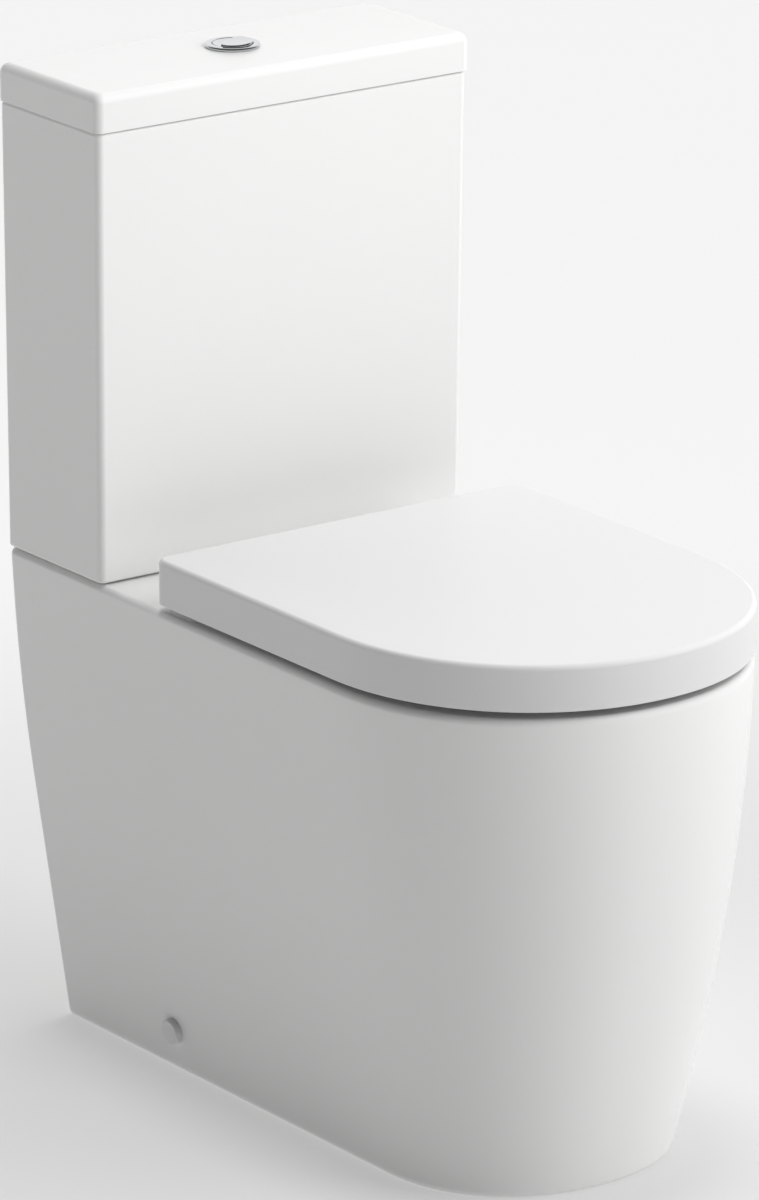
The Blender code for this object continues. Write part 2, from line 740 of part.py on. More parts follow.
def make_cistern_lid():
    def lid_outline(z, inset):
        corner = max(LID_CORNER_R - inset / 2, MIN_CORNER_R)
        return box_outline(LID_HALF - inset, inset, LID_REACH - inset, corner, z)

    inset, foot = LID_REBATE
    rings = [lid_outline(LID_Z, inset), lid_outline(LID_Z + foot, inset)]
    rings += [lid_outline(LID_Z + foot, LID_FOOT_R), lid_outline(LID_Z + foot + LID_FOOT_R, 0.0)]
    rings += [lid_outline(LID_TOP_Z - drop, inset) for inset, drop in quarter(LID_R, 4)]
    lid = loft("cistern_lid", rings, "china")
    hollow = [lid_outline(LID_Z - PAST, LID_WALL), lid_outline(LID_PLATE_Z, LID_WALL)]
    cut(lid, loft("lid_hollow", hollow))
    thick, long, reach = RIB
    rib_z = (LID_Z - reach, LID_PLATE_Z + RUN_IN)
    inner = TANK_HEAD[0] - TANK_WALL - RIB_PLAY
    middle = TANK_HEAD[1] / 2
    for side, sign in (("left", -1), ("right", 1)):
        edges = sorted((sign * inner, sign * (inner - thick)))
        low = (edges[0], out(middle) - long / 2, rib_z[0])
        join(lid, box(side + "_rib", low, (edges[1], out(middle) + long / 2, rib_z[1])))
    near = TANK_WALL + RIB_PLAY
    for side, start in (("back", near), ("front", TANK_HEAD[1] - near - thick)):
        low = (-1.5 * long, out(start + thick), rib_z[0])
        join(lid, box(side + "_rib", low, (1.5 * long, out(start), rib_z[1])))
    hole = (on_valve(LID_Z - PAST), on_valve(LID_TOP_Z + PAST))
    cut(lid, cylinder("button_hole", BUTTON_HOLE_R, *hole, sides=32))
    return lid


def on_valve(z=0.0, offset=(0.0, 0.0)):
    return (offset[0], out(VALVE_OUT) + offset[1], z)


def make_bezel():
    under = LID_TOP_Z + GAP
    profile = [
        (0, BEZEL_FLOOR_Z),
        (BEZEL_BORE_R, BEZEL_FLOOR_Z),
        (BEZEL_BORE_R, BEZEL_TOP_Z - BEZEL_EDGE),
        (BEZEL_BORE_R + BEZEL_EDGE, BEZEL_TOP_Z),
        (BEZEL_R - BEZEL_EDGE, BEZEL_TOP_Z),
        (BEZEL_R, BEZEL_TOP_Z - BEZEL_EDGE),
        (BEZEL_R, under),
        (SLEEVE_R, under),
        (SLEEVE_R, BEZEL_FLOOR_Z - BEZEL_FLOOR),
        (0, BEZEL_FLOOR_Z - BEZEL_FLOOR),
    ]
    body = turned("button_bezel", profile, on_valve(), "chrome", steps=24)
    for name, spot in (("full", FULL_ROD), ("half", HALF_ROD)):
        ends = (on_valve(BEZEL_FLOOR_Z - PAST, spot), on_valve(BEZEL_FLOOR_Z + PAST, spot))
        cut(body, cylinder(name + "_guide_hole", GUIDE_R, *ends, sides=12))
    heights = (BEZEL_NUT_Z, LID_PLATE_Z - GAP)
    nut_bore = SLEEVE_R + GAP
    ring("button_bezel_nut", BEZEL_NUT_R, nut_bore, *heights, on_valve(), "white_plastic", 24)


def make_button(name, top, spot):
    """One half of the push plate, with its rod and spring."""
    plate = cylinder(name + "_flush_button", BUTTON_R, on_valve(BUTTON_LOW_Z), on_valve(top), "chrome", 32)
    full = name == "full"
    radius = SPLIT_R - SPLIT_GAP / 2 if full else SPLIT_R + SPLIT_GAP / 2
    middle = (SPLIT_X, SPLIT_Y)
    ends = (on_valve(BUTTON_LOW_Z - PAST, middle), on_valve(top + PAST, middle))
    split = cylinder(name + "_split", radius, *ends, sides=96)
    boolean(plate, split, "INTERSECT" if full else "DIFFERENCE")
    rod = (on_valve(ROD_LOW_Z, spot), on_valve(BUTTON_LOW_Z - GAP, spot))
    cylinder(name + "_flush_rod", ROD_R, *rod, "white_plastic", 12)
    make_spring(name + "_flush_spring", spot)


def make_spring(name, spot):
    low = BEZEL_FLOOR_Z + GAP + SPRING_WIRE_R
    high = BUTTON_LOW_Z - GAP - SPRING_WIRE_R
    count = SPRING_TURNS * 7
    points = []
    for i in range(count + 1):
        angle = 2 * math.pi * SPRING_TURNS * i / count
        around = (spot[0] + SPRING_R * math.cos(angle), spot[1] + SPRING_R * math.sin(angle))
        points.append(on_valve(low + (high - low) * i / count, around))
    pipe(name, points, SPRING_WIRE_R, "steel", 1)


def make_flush_valve():
    base = [
        (FLANGE_R, VALVE_SEAT_Z),
        (FLANGE_R, FLANGE_Z),
        (TAIL_R, FLANGE_Z),
        (TAIL_R, TAIL_LOW_Z),
        (VALVE_BORE_R, TAIL_LOW_Z),
        (VALVE_BORE_R, VALVE_SEAT_Z),
    ]
    axis = on_valve()
    turned("flush_valve_base", base, axis, "white_plastic", closed=True, steps=20)
    washer = (0.040, TAIL_R + 0.0005, FLOOR_Z + GAP, WASHER_TOP_Z)
    ring("flush_valve_washer", *washer, axis, "rubber", 20)
    backnut = (BACKNUT_R, TAIL_R + 0.0004, BACKNUT_Z, TANK_Z - GAP)
    ring("flush_valve_backnut", *backnut, axis, "white_plastic", 20)
    outside, step, inside = COUPLING_R
    doughnut = [
        (outside, TANK_Z - GAP),
        (outside, RECESS_Z + GAP),
        (inside, RECESS_Z + GAP),
        (inside, COUPLING_STEP_Z),
        (step, COUPLING_STEP_Z),
        (step, TANK_Z - GAP),
    ]
    turned("close_coupling_washer", doughnut, axis, "rubber", closed=True, steps=20)
    make_tower()
    seal_z = (TOWER_LOW_Z, TOWER_LOW_Z + SEAL_THICK)
    ring("flush_valve_seal", SEAL_R, TUBE_R + GAP, *seal_z, axis, "red_seal", 20)
    tube = (TUBE_R, TUBE_BORE_R, TOWER_LOW_Z, TUBE_TOP_Z)
    ring("flush_valve_overflow_tube", *tube, axis, "grey_plastic")
    ring("half_flush_float", SEAL_R, TUBE_R + 0.0005, *HALF_FLOAT_Z, axis, "grey_plastic")


def make_tower():
    """Cage over the valve: windows let the water in, and its cap guides the rods."""
    profile = [
        (0, TOWER_TOP_Z),
        (TOWER_R, TOWER_TOP_Z),
        (TOWER_R, TOWER_LOW_Z),
        (TOWER_BORE_R, TOWER_LOW_Z),
        (TOWER_BORE_R, TOWER_TOP_Z - TOWER_CAP),
        (0, TOWER_TOP_Z - TOWER_CAP),
    ]
    cage = turned("flush_valve_tower", profile, on_valve(), "white_plastic", steps=20)
    across = TOWER_R + PAST
    for name, low, high, half in WINDOWS:
        for way, x, y in (("x", across, half), ("y", half, across)):
            corners = (on_valve(low, (-x, -y)), on_valve(high, (x, y)))
            cut(cage, box(name + "_window_" + way, *corners))
    for name, spot in (("full", FULL_ROD), ("half", HALF_ROD)):
        ends = (on_valve(TOWER_TOP_Z - PAST, spot), on_valve(TOWER_TOP_Z + PAST, spot))
        cut(cage, cylinder(name + "_rod_hole", ROD_HOLE_R, *ends, sides=12))


def make_fill_valve():
    here = (FILL_X, out(FILL_OUT), 0)
    body = [
        (RISER_R, HEAD_Z - GAP),
        (RISER_R, RISER_FLANGE_TOP_Z),
        (RISER_FLANGE_R, RISER_FLANGE_TOP_Z),
        (RISER_FLANGE_R, FLANGE_Z),
        (INLET_R, FLANGE_Z),
        (INLET_R, INLET_LOW_Z),
        (INLET_BORE_R, INLET_LOW_Z),
        (INLET_BORE_R, HEAD_Z - GAP),
    ]
    turned("fill_valve_body", body, here, "white_plastic", closed=True)
    bore = INLET_R + 0.0004
    ring("fill_valve_washer", RISER_FLANGE_R, bore, FLOOR_Z + GAP, WASHER_TOP_Z, here, "rubber")
    hex_nut("fill_valve_backnut", INLET_NUT_R, bore, INLET_NUT_Z, TANK_Z - GAP, here, "white_plastic")
    make_fill_head(here)
    lever_cylinder("fill_valve_lever_pin", LEVER_PIN_R, LEVER_PIN_HALF, "steel")
    lever = lever_cylinder("fill_valve_lever", LEVER_R, LEVER_HALF, "grey_plastic")
    half, rise = LEVER_ARM
    arm_end = (LINK_X + half, here[1] + half, LEVER_Z + rise)
    join(lever, box("lever_arm", (LEVER_X, here[1] - half, LEVER_Z - rise), arm_end))
    cut(lever, lever_cylinder("lever_bore", LEVER_BORE_R, 2 * PAST))
    cup = ring("fill_valve_float", FLOAT_R, FLOAT_BORE_R, *FLOAT_Z, here, "grey_plastic")
    start, half, top, bottom = FLOAT_LUG
    low = (FILL_X + start, here[1] - half, FLOAT_Z[1] - bottom)
    join(cup, box("float_lug", low, (LINK_X + 0.004, here[1] + half, FLOAT_Z[1] - top)))
    link = ((LINK_X, here[1], FLOAT_Z[1] - top + GAP), (LINK_X, here[1], LEVER_Z - rise - 0.0005))
    cylinder("fill_valve_link", LINK_R, *link, "steel", 10)


def make_fill_head(here):
    """Valve head, with the two ears that carry the lever's pin."""
    profile = [
        (0, HEAD_TOP_Z),
        (HEAD_R - HEAD_EDGE, HEAD_TOP_Z),
        (HEAD_R, HEAD_TOP_Z - HEAD_EDGE),
        (HEAD_R, HEAD_Z),
        (0, HEAD_Z),
    ]
    head = turned("fill_valve_head", profile, here, "white_plastic")
    for name, sign in (("near", -1), ("far", 1)):
        edges = sorted(here[1] + sign * edge for edge in HEAD_EAR_Y)
        low = (LEVER_X - HEAD_EAR_HALF, edges[0], HEAD_TOP_Z - 0.004)
        join(head, box(name + "_ear", low, (LEVER_X + HEAD_EAR_HALF, edges[1], LEVER_Z + HEAD_EAR_HALF)))
    cut(head, lever_cylinder("ear_bore", LEVER_BORE_R, 2 * PAST))


def lever_cylinder(name, radius, half, slot=None):
    """Cylinder along Y on the fill lever's pivot."""
    y = out(FILL_OUT)
    ends = ((LEVER_X, y - half, LEVER_Z), (LEVER_X, y + half, LEVER_Z))
    return cylinder(name, radius, *ends, slot, 16)


def make_tank_fixing(side, sign):
    here = (sign * BOLT_X, out(BOLT_OUT), 0)
    profile = [
        (0, BOLT_HEAD_Z + BOLT_HEAD),
        (BOLT_HEAD_R - 0.001, BOLT_HEAD_Z + BOLT_HEAD - 0.0005),
        (BOLT_HEAD_R, BOLT_HEAD_Z),
        (BOLT_R, BOLT_HEAD_Z),
        (BOLT_R, BOLT_LOW_Z + 0.001),
        (0, BOLT_LOW_Z),
    ]
    turned(side + "_tank_bolt", profile, here, "steel")
    seal = (BOLT_SEAL_R, BOLT_PLAY_R, FLOOR_Z + GAP, BOLT_HEAD_Z - GAP)
    ring(side + "_tank_bolt_seal", *seal, here, "rubber")
    top = DECK_LOW_Z - GAP
    ring(side + "_tank_bolt_washer", PAD_R, BOLT_PLAY_R, top - PAD_THICK, top, here, "rubber")
    top -= PAD_THICK + GAP
    hub = (WING_HUB_R, BOLT_PLAY_R, top - WING_HUB, top)
    nut = ring(side + "_tank_wing_nut", *hub, here, "white_plastic")
    for name, edge in (("front", -1), ("back", 1)):
        ends = sorted(here[1] + edge * distance for distance in WING_Y)
        low = (here[0] - WING_HALF, ends[0], DECK_LOW_Z - WING_DROP[1])
        high = (here[0] + WING_HALF, ends[1], DECK_LOW_Z - WING_DROP[0])
        join(nut, box(side + "_" + name + "_wing", low, high))


# ---- seat ----


def seat_outline(z, inset=0.0, back_out=None):
    """Outline of the seat lid drawn inset, with its back edge moved where one is given."""
    back = SEAT_BACK_OUT + inset if back_out is None else back_out
    front = SEAT_FRONT_OUT - inset
    corner = max(SEAT_CORNER_R - inset, MIN_CORNER_R)
    return d_outline(SEAT_HALF - inset, back, front, SEAT_CURVE - inset, SEAT_POWER, corner, z)


def hinge_cylinder(name, radius, x0, x1, slot=None, sides=16):
    """Cylinder along X on the hinge axis."""
    start = (x0, out(HINGE_OUT), HINGE_Z)
    return cylinder(name, radius, start, (x1, out(HINGE_OUT), HINGE_Z), slot, sides)


def ear(name, inner, sign, low_out, high_out, low_z, high_z):
    """Hinge ear: a round barrel and the web that ties it in."""
    ends = sorted((sign * inner, sign * (inner + EAR_WIDTH)))
    barrel = hinge_cylinder(name + "_barrel", EAR_R, *ends)
    low = (ends[0] + 0.0002, out(high_out), low_z)
    return barrel, box(name + "_web", low, (ends[1] - 0.0002, out(low_out), high_z))


def ear_bore(name, sign):
    ends = sorted(sign * (HINGE_X + offset) for offset in (-0.03, 0.03))
    return hinge_cylinder(name, PIN_BORE_R, *ends)


def make_seat_lid():
    rings = [seat_outline(SEAT_LOW_Z, SEAT_FOOT_R), seat_outline(SEAT_LOW_Z + SEAT_FOOT_R)]
    rings += [seat_outline(SEAT_TOP_Z - drop, inset) for inset, drop in quarter(SEAT_EDGE_R)]
    lid = loft("seat_lid", rings, "seat_plastic")
    hollow = [seat_outline(z, SEAT_WALL) for z in (SEAT_LOW_Z - PAST, SEAT_PLATE_Z)]
    cut(lid, loft("seat_lid_hollow", hollow))
    front = out(SEAT_BACK_OUT + SEAT_WALL + 0.0015)
    back = out(SEAT_BACK_OUT - PAST)
    relief = ((-RELIEF_HALF, front, SEAT_LOW_Z - PAST), (RELIEF_HALF, back, RELIEF_Z))
    cut(lid, box("lid_back_relief", *relief))
    for side, sign in (("left", -1), ("right", 1)):
        ends = sorted(sign * x for x in NOTCH_X)
        low = (ends[0], front, SEAT_LOW_Z - 2 * PAST)
        high = (ends[1], back + PAST, SEAT_PLATE_Z + 0.0005)
        cut(lid, box(side + "_hinge_notch", low, high))
    inner = HINGE_X - POST_HALF - GAP - EAR_WIDTH
    web = (HINGE_OUT - WEB_HALF, HINGE_OUT + WEB_HALF, HINGE_Z, SEAT_PLATE_Z + RUN_IN)
    for side, sign in (("left", -1), ("right", 1)):
        join(lid, *ear(side + "_lid_ear", inner, sign, *web))
        cut(lid, ear_bore(side + "_lid_bore", sign))
    return lid


def make_seat_ring():
    def ring_outline(z, inset):
        return seat_outline(z, RING_INSET + inset, RING_BACK_OUT + inset)

    def hole_ring(z, grow):
        return bowl_ring(HOLE_HALF, HOLE_LENGTH, HOLE_OUT, z, grow)

    rings = [ring_outline(RING_LOW_Z, RING_FOOT_R), ring_outline(RING_LOW_Z + RING_FOOT_R, 0.0)]
    rings += [ring_outline(RING_TOP_Z - drop, inset) for inset, drop in quarter(RING_EDGE_R)]
    seat = loft("seat_ring", rings, "seat_plastic")
    hole = [hole_ring(RING_LOW_Z - PAST, PAST), hole_ring(RING_LOW_Z + 0.002, 0.0)]
    hole += [hole_ring(RING_TOP_Z - drop, flare) for flare, drop in quarter(HOLE_R)]
    hole.append(hole_ring(RING_TOP_Z + PAST, HOLE_R + 0.008))
    cut(seat, loft("seat_hole", hole))
    inner = HINGE_X + POST_HALF + GAP
    web = (HINGE_OUT, RING_BACK_OUT + 0.006, HINGE_Z - WEB_HALF, HINGE_Z + WEB_HALF)
    for side, sign in (("left", -1), ("right", 1)):
        join(seat, *ear(side + "_ring_ear", inner, sign, *web))
        cut(seat, ear_bore(side + "_ring_bore", sign))
    return seat


def make_buffer(name, radius, low, high, x, distance):
    profile = [(0, high), (radius, high), (radius, low + BUFFER_EDGE), (radius - BUFFER_EDGE, low), (0, low)]
    turned(name, profile, (x, out(distance), 0), "buffer_rubber")


def make_buffers():
    for side, sign in (("left", -1), ("right", 1)):
        heights = (DECK_Z + GAP, RING_LOW_Z - GAP)
        for end, x, distance in RING_BUFFERS:
            name = "ring_buffer_" + end + "_" + side
            make_buffer(name, RING_BUFFER_R, *heights, sign * x, distance)
        heights = (RING_TOP_Z + GAP, SEAT_PLATE_Z - GAP)
        place = (sign * LID_BUFFER_X, LID_BUFFER_OUT)
        make_buffer("lid_buffer_" + side, LID_BUFFER_R, *heights, *place)


def make_hinge(side, sign):
    x, y = sign * HINGE_X, out(HINGE_OUT)
    low = DECK_Z + GAP
    foot = ((x, y, low), (x, y, low + POST_FOOT))
    post = cylinder(side + "_hinge_post", POST_FOOT_R, *foot, "chrome", 24)
    ends = (x - POST_HALF, x + POST_HALF)
    neck_low = (ends[0] + 0.0005, y - NECK_HALF, low + POST_FOOT / 2)
    join(post, box(side + "_post_neck", neck_low, (ends[1] - 0.0005, y + NECK_HALF, HINGE_Z)))
    join(post, hinge_cylinder(side + "_post_barrel", BARREL_R, *ends))
    cut(post, hinge_cylinder(side + "_post_bore", PIN_BORE_R, ends[0] - PAST, ends[1] + PAST))
    stud_hole = ((x, y, low - PAST), (x, y, STUD_TOP_Z + 0.0004))
    cut(post, cylinder(side + "_stud_bore", STUD_R + GAP, *stud_hole, sides=16))
    hinge_cylinder(side + "_hinge_pin", PIN_R, x - PIN_HALF, x + PIN_HALF, "steel")
    cylinder(side + "_hinge_bolt", STUD_R, (x, y, STUD_LOW_Z), (x, y, STUD_TOP_Z), "steel", 16)
    top = DECK_LOW_Z - GAP
    bore = STUD_R + GAP
    ring(side + "_hinge_washer", HINGE_PAD_R, bore, top - PAD_THICK, top, (x, y, 0), "rubber")
    top -= PAD_THICK + GAP
    hex_nut(side + "_hinge_nut", HINGE_NUT_R, bore, top - HINGE_NUT, top, (x, y, 0), "white_plastic")


make_pan()
make_tank()
make_cistern_lid()
make_bezel()
make_button("full", FULL_TOP_Z, FULL_ROD)
make_button("half", HALF_TOP_Z, HALF_ROD)
make_flush_valve()
make_fill_valve()
make_seat_lid()
make_seat_ring()
make_buffers()
for part_side, part_sign in (("left", -1), ("right", 1)):
    make_side_fixing(part_side, part_sign)
    make_tank_fixing(part_side, part_sign)
    make_hinge(part_side, part_sign)
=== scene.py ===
"""Looks of the close coupled toilet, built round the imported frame.

Metres, +Z up, X = 0 the plane of symmetry, the wall at +Y and the floor at Z = 0. Distances
named *_OUT are measured out from the wall, and out(distance) turns one into a Y coordinate.
Heights and reaches come from the frame's boxes. The rest are the design's own dimensions.
"""

import math

import bmesh
import bpy
from mathutils import Matrix, Vector


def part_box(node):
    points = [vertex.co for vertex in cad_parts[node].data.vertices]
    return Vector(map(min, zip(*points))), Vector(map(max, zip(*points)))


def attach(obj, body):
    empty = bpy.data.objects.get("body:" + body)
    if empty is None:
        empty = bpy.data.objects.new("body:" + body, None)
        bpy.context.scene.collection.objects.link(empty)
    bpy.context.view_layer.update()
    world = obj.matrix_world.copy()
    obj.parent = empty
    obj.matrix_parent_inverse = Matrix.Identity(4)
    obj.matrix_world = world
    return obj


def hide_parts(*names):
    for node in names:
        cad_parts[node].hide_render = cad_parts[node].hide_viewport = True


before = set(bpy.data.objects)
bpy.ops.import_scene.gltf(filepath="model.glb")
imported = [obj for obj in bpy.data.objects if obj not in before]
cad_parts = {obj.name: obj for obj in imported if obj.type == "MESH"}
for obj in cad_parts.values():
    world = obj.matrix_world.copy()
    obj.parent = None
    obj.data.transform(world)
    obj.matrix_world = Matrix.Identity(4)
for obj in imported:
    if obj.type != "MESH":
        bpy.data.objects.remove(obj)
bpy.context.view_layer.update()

ROOT = "pan_and_cistern"
GAP = 0.0003
WALL_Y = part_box("cistern_tank")[1].y


def out(distance):
    """Y coordinate of a point this far out from the wall."""
    return WALL_Y - distance


def reach(node):
    """How far a node stands out from the wall."""
    return WALL_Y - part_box(node)[0].y


def low(node):
    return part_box(node)[0].z


def high(node):
    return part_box(node)[1].z


# Pan
DECK_Z = high("pan")
SHOULDER_R = 0.006
FOOT_HALF = 0.1257
SIDE_SLOPE = 0.153
SIDE_SLOPE_TOP = 0.045
STRAIGHT_SIDE_Z = 0.215
WIDEST_Z = 0.412
FOOT_REACH = 0.5722
FRONT_SLOPE = 0.32
FRONT_SLOPE_LOSS = 0.29
FRONT_CURVE_FOOT = 0.1244
FRONT_CURVE_GAIN = 0.0636
FRONT_POWER_FOOT = 2.2
FRONT_POWER_LOSS = 0.13
PAN_WALL = 0.012
PAN_CORNER_R = 0.008
FOOT_R = 0.006
FOOT_INSET = 0.0035
FOOT_DROPS = (0.0, 0.0008, 0.002, 0.0035, FOOT_R)
SKIRT_START = 0.012
SHOULDER_GAP = 0.016
HOLLOW_START = 0.07
HOLLOW_R = 0.004
DECK_LOW_Z = DECK_Z - PAN_WALL
PAD_LOW_Z = DECK_LOW_Z - 0.0033
NUT_TOP_Z = DECK_LOW_Z - 0.0036
BACK_HALF = (0.097, 0.125)
BACK_TOP_Z = 0.385

# Bowl: height, half-width, half-length and centre out from the wall
BOWL = (
    (0.104, 0.016, 0.018, 0.400),
    (0.118, 0.032, 0.036, 0.400),
    (0.150, 0.044, 0.051, 0.401),
    (0.195, 0.060, 0.078, 0.405),
    (0.240, 0.082, 0.109, 0.413),
    (0.290, 0.104, 0.140, 0.423),
    (0.340, 0.119, 0.160, 0.430),
    (0.385, 0.127, 0.169, 0.432),
)
RIM = (0.128, 0.170, 0.432)
RIM_R = 0.008
BOWL_WALL = 0.011
BOWL_POWER = 2.2

# Trap, from the sump over the weir to the outlet spigot: distance out and height
TRAP_ROUTE = (
    (0.405, 0.146),
    (0.350, 0.152),
    (0.296, 0.200),
    (0.248, 0.242),
    (0.196, 0.222),
    (0.146, 0.186),
    (0.100, 0.180),
    (0.070, 0.180),
)
TRAP_BORE_R = 0.040
TRAP_OUTER_R = 0.051
OUTLET_OUT = 0.050

# Flush way
DUCT_HALF = 0.030
DUCT_Z = (0.350, 0.388)
DUCT_WALL = 0.008
DUCT_OUT = (0.300, 0.040)
DUCT_SHELL_OUT = (0.285, 0.032)
DUCT_R = 0.006
BOSS_R = 0.056
RECESS_R = 0.049
RECESS_Z = 0.3995
FLUSH_HOLE_R = 0.030

# Holes in the pan's deck and the cistern's floor
BOLT_HOLE_R = 0.0055
HINGE_HOLE_R = 0.0065
TAIL_HOLE_R = 0.022
VALVE_HOLE_R = 0.030
FILL_HOLE_R = 0.0115

# Cistern
TANK_Z = low("cistern_tank")
TANK_TOP_Z = high("cistern_tank")
TANK_FOOT = (0.17825, 0.1358)
TANK_HEAD = (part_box("cistern_tank")[1].x, reach("cistern_tank"))
TANK_WALL = 0.009
TANK_FOOT_R = 0.0025
TANK_RIM_R = 0.0022
TANK_CORNER_R = 0.0057
TANK_INSIDE_R = (0.012, 0.005)
FLOOR_Z = TANK_Z + 0.011
LID_Z = TANK_TOP_Z + GAP
LID_TOP_Z = high("cistern_lid")
LID_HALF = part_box("cistern_lid")[1].x
LID_REACH = reach("cistern_lid")
LID_R = 0.008
LID_CORNER_R = 0.007
LID_WALL = 0.010
LID_HOLLOW_R = 0.004
LID_FOOT_R = 0.0005
LID_REBATE = (0.0062, 0.0009)
LID_PLATE_Z = 0.8105
RIB = (0.006, 0.050, 0.0085)
RIB_CLEARANCE = 0.0012
BUTTON_HOLE_R = 0.0193

# Flush valve and button
VALVE_OUT = 0.068
BUTTON_R = 0.0163
BEZEL_R = 0.0225
CROWN_R = 0.0016
SLEEVE_R = 0.0190
SPLIT = (0.01267, -0.02118)
SPLIT_R = 0.03125
SPLIT_GAP = 0.0010
BUTTON_LOW_Z = low("full_flush_button")
BEZEL_FLOOR_Z = low("button_bezel") + 0.002
FULL_ROD = (0.0028, -0.0047)
HALF_ROD = (-0.0057, 0.0096)
TOWER_TOP_Z = high("flush_valve_tower")
TOWER_WINDOWS = ((0.446, 0.500, 0.017), (0.520, 0.715, 0.014))
SEAL_Z = (0.0032, 0.0035, 0.0075)
VALVE_TAIL = (0.3940, 0.3920)
COUPLING_Z = 0.4071
SPRING_WIRE_R = 0.00045
SPRING_R = 0.0036
SPRING_TURNS = 4

# Fill valve
FILL_X = -0.120
FILL_OUT = 0.070
HEAD_TOP_Z = 0.695
LEVER_X = -0.136
LEVER_Z = 0.706
LINK_X = -0.084
LEVER_BORE_R = 0.0018
RISER_R = 0.0110
FILL_TAIL = (0.3815, 0.3800)

# Seat
SEAT_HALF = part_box("seat_lid")[1].x
SEAT_BACK_OUT = WALL_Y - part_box("seat_lid")[1].y
SEAT_FRONT_OUT = reach("seat_lid")
SEAT_CURVE = 0.18965
SEAT_POWER = 2.07
SEAT_CORNER_R = 0.0125
SEAT_LOW_Z = low("seat_lid")
SEAT_TOP_Z = high("seat_lid")
SEAT_EDGE_R = 0.0045
SEAT_WALL = 0.005
SEAT_PLATE_Z = 0.454
SEAT_HOLLOW_R = 0.004
RELIEF = (0.166, 0.428)
NOTCH = (0.054, 0.101)
RING_INSET = 0.0130
RING_BACK_OUT = 0.239
RING_LOW_Z = low("seat_ring")
RING_TOP_Z = high("seat_ring")
RING_EDGE_R = 0.004
HOLE = (0.105, 0.135, 0.430)
HOLE_R = 0.006
SOLE_R = 0.0016

# Hinges and side fixings
HINGE_OUT = 0.225
HINGE_Z = 0.434
HINGE_X = 0.0775
BARREL_R = 0.007
POST_HALF = 0.010
POST_DEPTH_HALF = 0.0062
PIN_R = 0.003
PIN_HALF = 0.0192
PIN_BORE_R = 0.0033
EAR_WIDTH = 0.0092
WEB_HALF = 0.0055
STUD_R = 0.004
STUD_Z = (0.4236, 0.400, 0.399, 0.354, 0.352)
STUD_BORE_Z = 0.4240
BOLT_X = 0.075
BOLT_TAIL = (0.380, 0.377)
FIXING_OUT = 0.166
FIXING_Z = 0.036
CAP_R = 0.011
CAP_RISE = 0.0055
CAP_BORE = (0.0062, 0.0070)
FIXING_BORE = (0.0034, 0.0029)

# Smoothness of the finished surfaces
FRONT_STEPS = 96
CORNER_STEPS = 10
ROUND_STEPS = 8
BOWL_STEPS = 112
TURN_STEPS = 64
FINE_STEPS = 96
PAN_LEVELS = 22
MIN_CORNER_R = 0.002

# How far a cutter runs past the surface it opens
RUN_OUT = 0.01

# ---- camera, lights and floor ----


def heading(azimuth, elevation):
    """Unit vector that points this way, azimuth 0 being straight out from the front."""
    a, e = math.radians(azimuth), math.radians(elevation)
    return Vector((math.sin(a) * math.cos(e), -math.cos(a) * math.cos(e), math.sin(e)))


CAMERA_HEADING = (-35.876, 17.309)
CAMERA_DISTANCE = 6.530
CAMERA_TARGET = Vector((-0.0338, out(0.3058), 0.4424))
CAMERA_LENS = 246.93
CAMERA_SHIFT = (0.00638, -0.02115)
WALL_HEADING = (144, 15)
WALL_EDGE = (0.3, 0.8)
WALL_GLOW = (0.10, 1.0)
FLOOR_PAINT = (0.38, 0.38, 0.38)
FLOOR_EDGE = (0.5, 1.6)
FLOOR_GLOW = (0.39, 0.56)
FLOOR_HALF = 40.0
FLOOR_DROP = 0.0005
WHITE = (1.0, 1.0, 1.0, 1.0)
ORIGIN = Vector((0.0, 0.0, 0.0))
TANK_FRONT = Vector((0.0, out(0.145), 0.85))

# Lamps: name, kind, energy, place, aim and size
LAMPS = (
    ("overhead", "SUN", 1.0, Vector((0.0, 0.0, 5.0)), ORIGIN, 12),
    ("key", "SUN", 1.65, heading(44, 28) * 5, ORIGIN, 50),
    ("front", "AREA", 3.6, TANK_FRONT + heading(20, 30), TANK_FRONT, 0.8),
)


def make_camera():
    data = bpy.data.cameras.new("camera")
    data.sensor_width = 36.0
    data.lens = CAMERA_LENS
    data.shift_x, data.shift_y = CAMERA_SHIFT
    data.clip_end = 100.0
    camera = bpy.data.objects.new("camera", data)
    back = heading(*CAMERA_HEADING)
    camera.location = CAMERA_TARGET + back * CAMERA_DISTANCE
    camera.rotation_euler = (-back).to_track_quat("-Z", "Y").to_euler()
    bpy.context.scene.collection.objects.link(camera)
    bpy.context.scene.camera = camera


def shine(name, kind, energy, place, aim, size):
    """Lamp at a place: a sun's size is an angle in degrees, an area's is its side in metres."""
    data = bpy.data.lights.new(name, kind)
    data.energy = energy
    if kind == "SUN":
        data.angle = math.radians(size)
    else:
        data.size = size
    light = bpy.data.objects.new(name, data)
    light.location = place
    light.rotation_euler = (aim - place).to_track_quat("-Z", "Y").to_euler()
    light.visible_camera = False
    light.visible_glossy = False
    bpy.context.scene.collection.objects.link(light)


def ramp(tree, value, start, end, kind="LINEAR"):
    """Output that runs between the end values as the value runs between the start values."""
    node = tree.nodes.new("ShaderNodeMapRange")
    node.interpolation_type = kind
    for socket, number in zip(("From Min", "From Max", "To Min", "To Max"), (*start, *end)):
        node.inputs[socket].default_value = number
    tree.links.new(value, node.inputs["Value"])
    return node.outputs["Result"]


